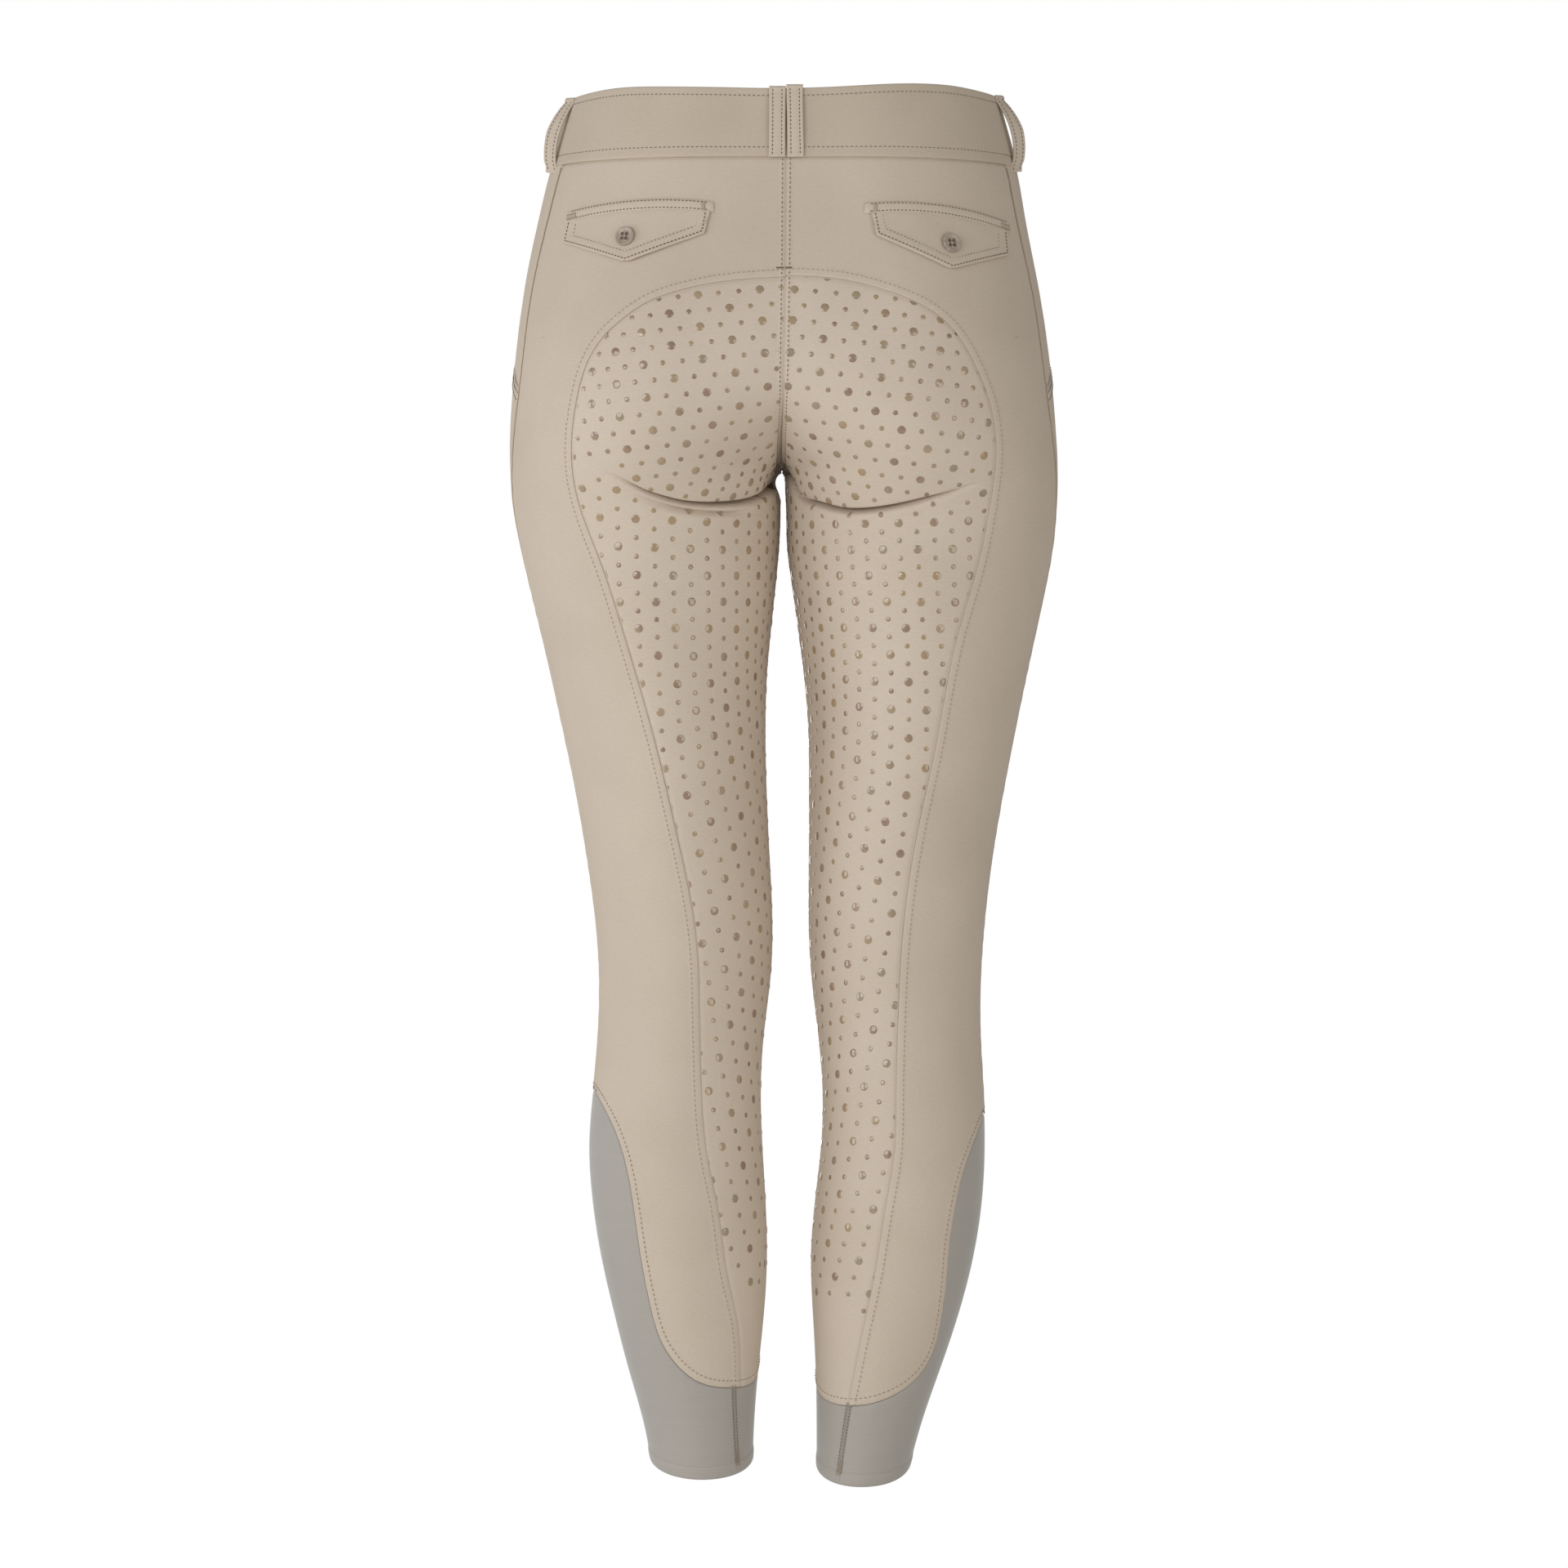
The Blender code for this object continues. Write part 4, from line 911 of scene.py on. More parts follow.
def closeMaterial(tree, inputs):
    shader = addNode(tree, "ShaderNodeBsdfPrincipled", inputs)
    addNode(tree, "ShaderNodeOutputMaterial", {"Surface": shader.outputs[0]})
    return shader


def clothCoordinates(tree):
    # the cloth's own millimetres: across and down each panel
    flat = addNode(tree, "ShaderNodeUVMap", uv_map="clothGrid")
    return addNode(tree, "ShaderNodeMapping", {
        "Vector": flat.outputs[0], "Scale": (1000.0, 1000.0, 1.0),
    }).outputs[0]


def drawnNoise(tree, vector, scale, detail, lean=0.0):
    # noise stretched along threads that lean by an angle
    laid = addNode(tree, "ShaderNodeMapping", {
        "Vector": vector, "Rotation": (0, 0, math.radians(lean)), "Scale": scale,
    })
    return addNode(tree, "ShaderNodeTexNoise", {
        "Vector": laid.outputs[0], "Scale": 1.0, "Detail": detail, "Roughness": 0.6,
    })


def wovenCloth(name, lit, deep, twillDepth):
    # Polyamide and elastane woven as a fine twill and left matt: colour that hardly shines,
    # with a soft bloom where it turns away.
    made, tree = newMaterial(name)
    cloth = clothCoordinates(tree)
    solid = addNode(tree, "ShaderNodeTexCoord").outputs["Object"]
    twill = drawnNoise(tree, cloth, (0.22, 1 / weave["twillPitch"], 1.0), 2.0, weave["twillLean"])
    slub = drawnNoise(tree, cloth, (0.7, 0.9, 1.0), 3.0)
    shade = addNode(tree, "ShaderNodeTexNoise", {"Vector": solid, "Scale": 14.0, "Detail": 2.0})
    weaveTone = addNode(tree, "ShaderNodeMath", {
        0: twill.outputs["Fac"], 1: slub.outputs["Fac"],
    }, operation="MULTIPLY")
    tone = addNode(tree, "ShaderNodeMapRange", {
        "Value": weaveTone.outputs[0], "From Min": 0.14, "From Max": 0.40, "To Min": 0.28,
        "To Max": 0.60,
    })
    drift = addNode(tree, "ShaderNodeMapRange", {
        "Value": shade.outputs["Fac"], "From Min": 0.35, "From Max": 0.65, "To Min": -0.12,
        "To Max": 0.12,
    })
    total = addNode(tree, "ShaderNodeMath", {
        0: tone.outputs[0], 1: drift.outputs[0],
    }, operation="ADD", use_clamp=True)
    colour = addNode(tree, "ShaderNodeMix", {
        0: total.outputs[0], 6: hexToLinear(lit), 7: hexToLinear(deep),
    }, data_type="RGBA").outputs[2]
    bump = addNode(tree, "ShaderNodeBump", {
        "Strength": 0.5, "Distance": twillDepth, "Height": weaveTone.outputs[0],
    })
    closeMaterial(tree, {
        "Base Color": colour, "Roughness": 0.86, "IOR": 1.5, "Specular IOR Level": 0.22,
        "Sheen Weight": 0.16, "Sheen Roughness": 0.45, "Sheen Tint": hexToLinear("#E8DCCB"),
        "Normal": bump.outputs[0],
    })
    return made


def elasticJersey(name, lit, deep):
    # Fine weft knit of polyamide and elastane, pulled smooth by the calf: rows so fine that
    # only a faint ribbing and a slight silky sheen are left.
    made, tree = newMaterial(name)
    cloth = clothCoordinates(tree)
    rows = addNode(tree, "ShaderNodeTexWave", {
        "Vector": cloth, "Scale": 0.314 / weave["jerseyPitch"], "Distortion": 0.8,
        "Detail": 2.0, "Detail Scale": 0.4,
    }, bands_direction="Y")
    grain = addNode(tree, "ShaderNodeTexNoise", {
        "Vector": cloth, "Scale": 1.1, "Detail": 3.0, "Roughness": 0.6,
    })
    pulled = drawnNoise(tree, cloth, (0.01, 0.12, 1.0), 2.0)
    both = addNode(tree, "ShaderNodeMath", {
        0: rows.outputs["Fac"], 1: grain.outputs["Fac"],
    }, operation="MULTIPLY")
    tone = addNode(tree, "ShaderNodeMath", {
        0: both.outputs[0], 1: pulled.outputs["Fac"],
    }, operation="MULTIPLY")
    faint = addNode(tree, "ShaderNodeMapRange", {
        "Value": tone.outputs[0], "From Min": 0.05, "From Max": 0.35, "To Min": 0.26, "To Max": 0.5,
    })
    colour = addNode(tree, "ShaderNodeMix", {
        0: faint.outputs[0], 6: hexToLinear(lit), 7: hexToLinear(deep),
    }, data_type="RGBA").outputs[2]
    bump = addNode(tree, "ShaderNodeBump", {
        "Strength": 0.2, "Distance": 0.00006, "Height": both.outputs[0],
    })
    closeMaterial(tree, {
        "Base Color": colour, "Roughness": 0.66, "IOR": 1.5, "Specular IOR Level": 0.35,
        "Sheen Weight": 1.0, "Sheen Roughness": 0.38, "Sheen Tint": hexToLinear("#EFF0EE"),
        "Normal": bump.outputs[0],
    })
    return made


def printedSilicone(name):
    # Silicone rubber pressed on as drops and cured: clear brown, smooth, with a wet glint.
    made, tree = newMaterial(name)
    solid = addNode(tree, "ShaderNodeTexCoord").outputs["Object"]
    colour = hexToLinear(weave["dot"])
    for scale, low, high, other in weave["clouds"]:
        cloud = addNode(tree, "ShaderNodeTexNoise", {"Vector": solid, "Scale": scale, "Detail": 1.0})
        tone = addNode(tree, "ShaderNodeMapRange", {
            "Value": cloud.outputs["Fac"], "From Min": low, "From Max": high,
        })
        colour = addNode(tree, "ShaderNodeMix", {
            0: tone.outputs[0], 6: colour, 7: hexToLinear(weave[other]),
        }, data_type="RGBA").outputs[2]
    closeMaterial(tree, {
        "Base Color": colour, "Roughness": 0.36, "IOR": 1.41, "Specular IOR Level": 0.5,
        "Coat Weight": 1.0, "Coat Roughness": 0.06, "Coat IOR": 1.6,
    })
    return made


def spunThread(name):
    # Spun polyester sewing thread: matt and cloth coloured, with the shade of its needle holes painted
    # on as a dark colour, mixed in by a share given at each point.
    made, tree = newMaterial(name)
    sunk = addNode(tree, "ShaderNodeAttribute", attribute_name="sunk")
    solid = addNode(tree, "ShaderNodeTexCoord").outputs["Object"]
    twist = addNode(tree, "ShaderNodeTexNoise", {"Vector": solid, "Scale": 900.0})
    colour = hexToLinear(weave["thread"])
    for tone, other in ((twist, "threadDeep"), (sunk, "threadPaintedShade")):
        colour = addNode(tree, "ShaderNodeMix", {
            0: tone.outputs["Fac"], 6: colour, 7: hexToLinear(weave[other]),
        }, data_type="RGBA").outputs[2]
    closeMaterial(tree, {"Base Color": colour, "Roughness": 0.7, "Specular IOR Level": 0.3})
    return made


def castResin(name):
    # Polyester resin cast in a rod, cut and tumbled: satin, with a faint cloud in it.
    made, tree = newMaterial(name)
    solid = addNode(tree, "ShaderNodeTexCoord").outputs["Object"]
    cloud = addNode(tree, "ShaderNodeTexNoise", {
        "Vector": solid, "Scale": 220.0, "Detail": 4.0, "Distortion": 1.5,
    })
    tone = addNode(tree, "ShaderNodeMapRange", {
        "Value": cloud.outputs["Fac"], "From Min": 0.3, "From Max": 0.7,
    })
    colour = addNode(tree, "ShaderNodeMix", {
        0: tone.outputs[0], 6: hexToLinear(weave["button"]), 7: hexToLinear(weave["buttonDeep"]),
    }, data_type="RGBA").outputs[2]
    closeMaterial(tree, {
        "Base Color": colour, "Roughness": 0.34, "IOR": 1.54, "Specular IOR Level": 0.5,
    })
    return made


finish = {
    "cloth": wovenCloth("stretchTwillWeave", weave["lit"], weave["deep"], 0.00010),
    "band": wovenCloth("doubledBandWeave", weave["bandLit"], weave["bandDeep"], 0.00010),
    "seat": wovenCloth("gripSeatWeave", weave["seatLit"], weave["seatDeep"], 0.00007),
    "jersey": elasticJersey("elasticCalfJersey", weave["jersey"], weave["jerseyDeep"]),
    "cover": elasticJersey("coverstitchedJersey", weave["cover"], weave["coverDeep"]),
    "silicone": printedSilicone("printedSilicone"),
    "thread": spunThread("spunPolyesterThread"),
    "resin": castResin("castResinButton"),
}
print("materials ready")


# Making meshes from points in millimetres.
def addPiece(name, points, faces, kind, uv=None, sunk=None, node=None, sharp=50):
    data = bpy.data.meshes.new(name)
    data.from_pydata((np.asarray(points) * mm).tolist(), [], faces)
    form = bmesh.new()
    form.from_mesh(data)
    bmesh.ops.recalc_face_normals(form, faces=form.faces)
    form.to_mesh(data)
    form.free()
    data.shade_smooth()
    data.set_sharp_from_angle(angle=math.radians(sharp))
    if uv is not None:
        corner = np.zeros(len(data.loops), int)
        data.loops.foreach_get("vertex_index", corner)
        layer = data.uv_layers.new(name="clothGrid")
        layer.data.foreach_set("uv", (np.asarray(uv)[corner] * mm).ravel().astype(np.float32))
    # share of the thread's painted shade at each point
    if sunk is not None:
        data.attributes.new("sunk", "FLOAT", "POINT").data.foreach_set(
            "value", np.asarray(sunk, np.float32)
        )
    data.materials.append(finish[kind])
    made = addObject(name, data)
    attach(made, "root")
    if node:
        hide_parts(node)
    return made


def addSheet(name, points, faces, kind, uv, node):
    # a cut piece of cloth, made like any other piece, with its flat millimetres as uv
    made = addPiece(name, points, faces, kind, uv=uv, node=node)


def gridFaces(rows, cols, start=0, ring=False, tube=False):
    # faces between the points of a grid; a ring joins its columns, a tube its rows
    index = start + np.arange(rows * cols).reshape(rows, cols)
    if ring:
        index = np.concatenate([index, index[:, :1]], axis=1)
    if tube:
        index = np.concatenate([index, index[:1]], axis=0)
    a, b, c, d = index[:-1, :-1], index[:-1, 1:], index[1:, 1:], index[1:, :-1]
    return np.stack([a, b, c, d], axis=-1).reshape(-1, 4).tolist()


def wallOf(outer, inner, ring=False):
    # closed wall between two grids of points, with faces round its rims
    rows, cols = outer.shape[:2]
    count = rows * cols
    faces = gridFaces(rows, cols, 0, ring) + gridFaces(rows, cols, count, ring)
    index = np.arange(count).reshape(rows, cols)
    rims = [index[0], index[-1]]
    if ring:
        rims = [np.append(rim, rim[0]) for rim in rims]
    else:
        rims += [index[:, 0], index[:, -1]]
    for rim in rims:
        for a, b in zip(rim[:-1], rim[1:]):
            faces.append([int(a), int(b), int(b + count), int(a + count)])
    return np.concatenate([outer.reshape(-1, 3), inner.reshape(-1, 3)]), faces


def gridUv(points, ring=False):
    # flat millimetres on both sides of a grid: run across from its first column, and down
    across = rowRuns(np.concatenate([points, points[:, :1]], axis=1))
    across = across[:, 1:] if ring else across[:, :-1]
    flat = np.stack([across, -points[..., 2]], axis=-1).reshape(-1, 2)
    return np.concatenate([flat, flat])


def drawnIn(points, level, rimNames, centre=""):
    # rims move in by half a seam gap, but not where both halves already stand clear in the middle
    moved = points.copy()
    rims = {
        "left": (np.s_[:, 0], np.s_[:, 3]), "right": (np.s_[:, -1], np.s_[:, -4]),
        "top": (np.s_[0], np.s_[3]), "bottom": (np.s_[-1], np.s_[-4]),
    }
    for name in rimNames:
        rim, nextIn = rims[name]
        tangent = np.gradient(points[rim], axis=0)
        tangent /= np.linalg.norm(tangent, axis=1)[:, None]
        inward = points[nextIn] - points[rim]
        inward -= (inward * tangent).sum(axis=1)[:, None] * tangent
        inward /= np.linalg.norm(inward, axis=1)[:, None]
        held = (level[rim] > crotch + halfGap) & (name == centre)
        moved[rim] += np.where(held[:, None], 0, mesh["seamGap"]) * inward
    return moved


def addPanel(panel, kind, centre, flat, area):
    turn, level = panel["grid"][..., 0], panel["grid"][..., 1]
    points, normals = clothAt(panel, turn, level)
    points = drawnIn(points, level, ("left", "right", "top", "bottom"), centre)
    flatPlaces = np.stack([turn * cut["clothPerTurn"], -level], axis=-1).reshape(-1, 2)
    corners, faces = wallOf(points, points - normals * body["cloth"])
    name, side = panel["name"], panel["side"]
    addSheet(name + "Panel" + sideName(side), corners, faces, kind,
             np.concatenate([flatPlaces, flatPlaces]), nodeName(name, side))


def makePanels(side, line):
    inseam = joined(line["inseamLeg"], line["inseamCalf"])
    edge = joined(line["edgeHip"], line["edgeLeg"], line["edgeCalf"])
    archEdge = joined(line["arch"], edge)
    sideEdge = joined(line["sideHip"], line["sideLeg"])
    frontInseam = line["inseamLeg"] - [2, 0]
    mouthRows = len(line["mouth"])
    frontLeft = sideEdge.copy()
    frontLeft[:mouthRows] = line["mouth"]
    border = joined(line["sockCalf"], line["sockFoot"][::-1])
    edges = {  # left, right, top and bottom of each panel
        "seat": (joined(line["centreBack"], inseam), edge, line["archLine"], line["footSeat"]),
        "back": (archEdge, joined(line["waistBack"], sideEdge, line["sockCalf"]), line["topBack"],
                 line["sockFoot"]),
        "front": (frontLeft, joined(line["centreFront"], frontInseam), line["waistFront"],
                  line["sockFront"]),
    }
    grids = {name: panelGrid(side, *edges[name], mesh["columns"][name]) for name in edges}
    grids["seat"] = alongFold(side, grids["seat"], len(line["edgeHip"]) - 1)
    seed = 0.4 + 0.9 * (side > 0)
    rims = {
        "seat": (
            (archEdge, "low", -1), (line["centreBack"], "centre", 1),
            (line["inseamLeg"], "plain", 1),
            (joined(line["inseamCalf"], line["footSeat"]), "border", 1),
        ),
        "back": (
            (archEdge, "topstitched", 1), (line["topBack"], "centre", -1),
            (line["waistBack"], "waist", 1),
            (sideEdge, "side", -1), (border, "border", -1),
        ),
        "front": (
            (line["mouth"], "mouth", 1), (line["waistFront"], "waist", 1),
            (joined(line["sideHip"][mouthRows - 1:], line["sideLeg"]), "side", 1),
            (line["centreFront"], "centre", -1), (frontInseam, "plain", -1),
            (line["sockFront"], "border", 1),
        ),
    }
    panels = {}
    for name, grid in grids.items():
        panels[name] = {"name": name, "side": side, "grid": grid, "rims": [
            makeRim(side, rimLine, kind, inward * side, seed + 1.7 * k)
            for k, (rimLine, kind, inward) in enumerate(rims[name])
        ]}
    return panels


# Sewing thread: every row is a run of short bowed strands that dive into the cloth.
thread = {
    "pitch": 3.3,  # mm; the real one is near 2.6, drawn coarser so that each stitch shows
    "fill": 0.50,  # share of the pitch that shows
    "radius": 0.36,
    "sides": 5,
    # along one stitch: share of its length, rise over the cloth, thickness, and painted shade that
    # stands in for the shade of its holes
    "bow": ((0.0, -0.20, 0.72, 1.0), (0.16, 0.06, 0.96, 0.95), (0.5, 0.12, 1.0, 0.85),
            (0.84, 0.06, 0.96, 0.95), (1.0, -0.20, 0.72, 1.0)),
}
# bar tacks: width, step, thread radius, share of painted shade, and rise and dive of the thread
tack = {"width": 2.0, "step": 0.42, "radius": 0.26, "sunk": 0.15, "rise": 0.18, "dive": 0.25}
sewn = {
    "tackReach": (0.2, 5.2),
    "tackLevel": -124.6,
    "tackRise": 0.1,
    "tackSteps": 12,
    # the centre tack carries most of the thread's painted shade
    "tack": {"width": 1.0, "step": 0.5, "radius": 0.22, "sunk": 0.75},
    "endPlace": (70.2, -97.6),
    "endReach": (-0.8, -2.4),
    "endRise": (0.3, 1.1),
    "endThread": 0.34,
    # share of the thread's painted shade on the loose end
    "endShade": 0.95,
    "seamStart": 2.0,
    "seamStep": 2.5,
    "seamRise": -0.08,
    "seamWave": 0.12,
    "seamThread": 0.50,
    # share of the thread's painted shade on the side seam's strand
    "seamShade": 0.0,
}
sewing = {}


def strand(key, points, normals, radius, sunk):
    # one closed tube through points, kept until all the thread of its kind becomes one piece
    sides, rows = thread["sides"], len(points)
    along = np.gradient(points, axis=0)
    along /= np.linalg.norm(along, axis=1)[:, None]
    across = np.cross(normals, along)
    across /= np.linalg.norm(across, axis=1)[:, None]
    up = np.cross(along, across)
    angles = (math.tau * np.arange(sides) / sides)[:, None]
    ring = across[:, None] * np.cos(angles) + up[:, None] * np.sin(angles)
    tube = points[:, None] + ring * np.asarray(radius).reshape(-1, 1, 1)
    tip, last = rows * sides, (rows - 1) * sides
    faces = gridFaces(rows, sides, ring=True)
    for k in range(sides):
        n = (k + 1) % sides
        faces += [[k, n, tip], [last + n, last + k, tip + 1]]
    store = sewing.setdefault(key, {"points": [], "faces": [], "sunk": [], "count": 0})
    store["faces"] += [[store["count"] + v for v in face] for face in faces]
    store["points"].append(np.concatenate([tube.reshape(-1, 3), points[[0, -1]]]))
    store["sunk"].append(np.concatenate([np.repeat(sunk, sides), [sunk[0], sunk[-1]]]))
    store["count"] += tip + 2


def stitchRow(key, points, normals, pitch=thread["pitch"], radius=thread["radius"], dark=1.0):
    # the last share scales the painted shade along each stitch
    run = runOf(points)
    count = int(run[-1] / pitch)
    share, rise, thick, sunk = np.array(thread["bow"]).T
    first = (run[-1] - count * pitch) / 2 + pitch * (1 - thread["fill"]) / 2
    for n in range(count):
        at = first + pitch * n + share * pitch * thread["fill"]
        facing = drawnAt(at, run, normals)
        path = drawnAt(at, run, points) + facing * rise[:, None]
        strand(key, path, facing, radius * thick, dark * sunk)


def barTack(key, points, normals, **changes):
    # dense zigzag of thread that ends a row; each stroke has a few points so that it stays round
    made = {**tack, **changes}
    run = runOf(points)
    strokes = max(int(run[-1] / made["step"]), 4)
    share = np.linspace(0, 1, strokes * 5 + 1)
    spots, facing = drawnAt(share * run[-1], run, points), drawnAt(share * run[-1], run, normals)
    across = np.cross(facing, np.gradient(spots, axis=0))
    across /= np.linalg.norm(across, axis=1)[:, None]
    swing = np.cos(math.pi * strokes * share)
    # painted shade is deepest where a stroke turns and dives into the cloth
    turning = np.abs(swing) ** 6
    rise = made["rise"] - made["dive"] * turning
    path = spots + across * (swing * made["width"] / 2)[:, None] + facing * rise[:, None]
    strand(key, path, facing, np.full(len(path), made["radius"]), made["sunk"] + 0.5 * turning)


def sewRims(panel, key):
    for rim in panel["rims"]:
        size = rimKinds[rim["kind"]]
        for distance in size["stitches"]:
            line = offsetLine(panel["side"], rim["line"], rim["inward"], distance)
            points, normals = clothAt(panel, line[:, 0], line[:, 1])
            stitchRow(key, points, normals, dark=size["dark"])


def sewSideSeam(side, line):
    # the seam's own thread lies as one strand at the bottom of the join, with the share of the
    # thread's painted shade that sewn gives it
    seam = joined(line["sideHip"], line["sideLeg"])
    run = runOf(surface(side, seam[:, 0], seam[:, 1])[0])
    at = np.arange(sewn["seamStart"], run[-1], sewn["seamStep"])
    turn, level = drawnAt(at, run, seam).T
    points, normals = surface(side, turn, level)
    rise = sewn["seamRise"] + sewn["seamWave"] * slowWave(at, 0.7 * side)
    strand("topstitching" + sideName(side), points + normals * rise[:, None], normals,
           np.full(len(at), sewn["seamThread"]), np.full(len(at), sewn["seamShade"]))


def sewThreadEnd():
    # short loose end of thread under the flap on one side, drawn almost wholly in the thread's
    # painted-shade colour
    side, (x, level), reach = -1, sewn["endPlace"], sewn["endReach"]
    at = np.linspace(0, 1, 9)
    across = x + reach[0] * at + 0.5 * np.sin(math.pi * at)
    down = level + reach[1] * at
    points, normals = surface(side, place(side, across, down), down)
    rise = sewn["endRise"][0] + sewn["endRise"][1] * at
    strand("pocketSewing" + sideName(side), points + normals * rise[:, None], normals,
           np.full(len(at), sewn["endThread"]), np.full(len(at), sewn["endShade"]))


def sewCentreTack():
    # short bar tack across the centre back seam, just over the seat panel
    for side in (-1, 1):
        x = np.linspace(*sewn["tackReach"], sewn["tackSteps"])
        level = np.full(len(x), sewn["tackLevel"])
        points, normals = clothAt(legPanels[side]["back"], place(side, x, level), level)
        points = points + normals * sewn["tackRise"]
        barTack("topstitching" + sideName(side), points, normals, **sewn["tack"])


def finishSewing():
    for key, store in sewing.items():
        addPiece(key, np.concatenate(store["points"]), store["faces"], "thread",
                 sunk=np.concatenate(store["sunk"]), sharp=80)


# Panels, pocket facings and socks; each flat cut has its size and area in metres.
panelMade = {
    "back": {"kind": "cloth", "centre": "top", "flat": (0.30, 0.86), "area": 0.098},
    "seat": {"kind": "seat", "centre": "left", "flat": (0.21, 0.80), "area": 0.098},
    "front": {"kind": "cloth", "centre": "right", "flat": (0.33, 0.66), "area": 0.140},
}
facingMade = {
    "under": 4.0,  # how far it runs on under the mouth
    "sink": 1.75,
    "slope": 7.0,
    "free": 0.3,
    "seamDip": (1.5, 2.0),
    "columns": (0, .01, .03, .06, .12, .2, .32, .45, .6, .75, .87, .95, 1.0),
    "flat": (0.125, 0.158),
    "area": 0.0145,
}


def makeFacing(side, line):
    made, perTurn = facingMade, cut["frontPerTurn"]
    mouth = line["mouth"][:, None]
    shares = np.array(made["columns"])[None, :, None]
    under = mouth - [made["under"] / perTurn, 0]
    grid = line["facingSide"][:, None] * (1 - shares) + under * shares
    apart = (grid[:, :1, 0] - grid[..., 0]) * perTurn
    before = (grid[..., 0] - mouth[..., 0]) * perTurn  # free cloth outside the mouth
    sink = made["sink"] * (1 - smoothStep(before / made["slope"]))
    deep, wide = made["seamDip"]
    sink = np.minimum(sink, made["free"] + apart) + deep * bell(apart / wide)
    points, normals = surface(side, grid[..., 0], grid[..., 1])
    points = drawnIn(points, grid[..., 1], ("left", "top"))
    outer = points - normals * sink[..., None]
    corners, faces = wallOf(outer, outer - normals * body["cloth"])
    addSheet("pocketFacing" + sideName(side), corners, faces, "cloth", gridUv(points),
             nodeName("pocket_facing", side))


sockMade = {
    "columns": (48, 60, 34, 48, 52),  # over the front, the calf, the foot, the instep, the inside
    "tuck": 3.0,
    "tuckSink": 1.72,
    "edgeSink": (0.55, 1.5),
    "pucker": (0.10, 3.0, 5.0),  # height, and where it lies below the top edge
    "rows": 30,
    "topSteps": (0.0, 0.9, 1.8, 3.0, 5.0, 8.0),
    "hemSteps": (13.0, 10.5, 9.4, 8.8, 8.0, 6.0, 4.0, 2.2, 1.1, 0.5, 0.12, 0.0),
    "hemOut": (0.0, 0.02, 0.10, -0.12, 0.30, 0.55, 0.58, 0.55, 0.42, 0.16, -0.18, -0.55),
    "hemRow": 3,  # step of the hem that is stitched
    # stitches of the hem: pitch, radius and a quarter of the thread's painted shade
    "hemSewing": {"pitch": 3.0, "radius": 0.18, "dark": 0.25},
    "seam": {-1: ((34.0, -877.2), (33.2, -905.0), (31.3, -940.5)),
             1: ((44.2, -889.0), (40.6, -912.0), (36.4, -946.0))},
    "seamShort": 1.4,  # how far above the hem's edge the seam stops
    # the cover over the seam: half its width, and its section as share of that and height
    "coverHalf": 2.3,
    "cover": ((-1.0, -0.5), (-0.94, 0.05), (-0.82, 0.34), (-0.62, 0.20), (-0.45, 0.40),
              (-0.15, 0.30), (0, -0.20), (0.15, 0.30), (0.45, 0.40), (0.62, 0.20),
              (0.82, 0.34), (0.94, 0.05), (1.0, -0.5)),
    "coverCloth": 0.55,
    "coverRows": (-0.62, 0.62),
    "coverRise": 0.38,
    "coverSewing": {"pitch": 2.3, "radius": 0.2},
    "tackRise": 0.45,
    "tackPoints": (-14, -4),  # the part of the seam under its tack
    "tack": {"width": 4.4, "step": 0.7, "radius": 0.2},
    "flat": (0.36, 0.26),
    "area": 0.052,
}


def sockAt(side, top, hem, down):
    # surface at shares of the way down from the sock's top edge to its hem
    turn, level = (top[:, k] + (hem[:, k] - top[:, k]) * down for k in (0, 1))
    return surface(side, (turn + 1) % 2 - 1, level)


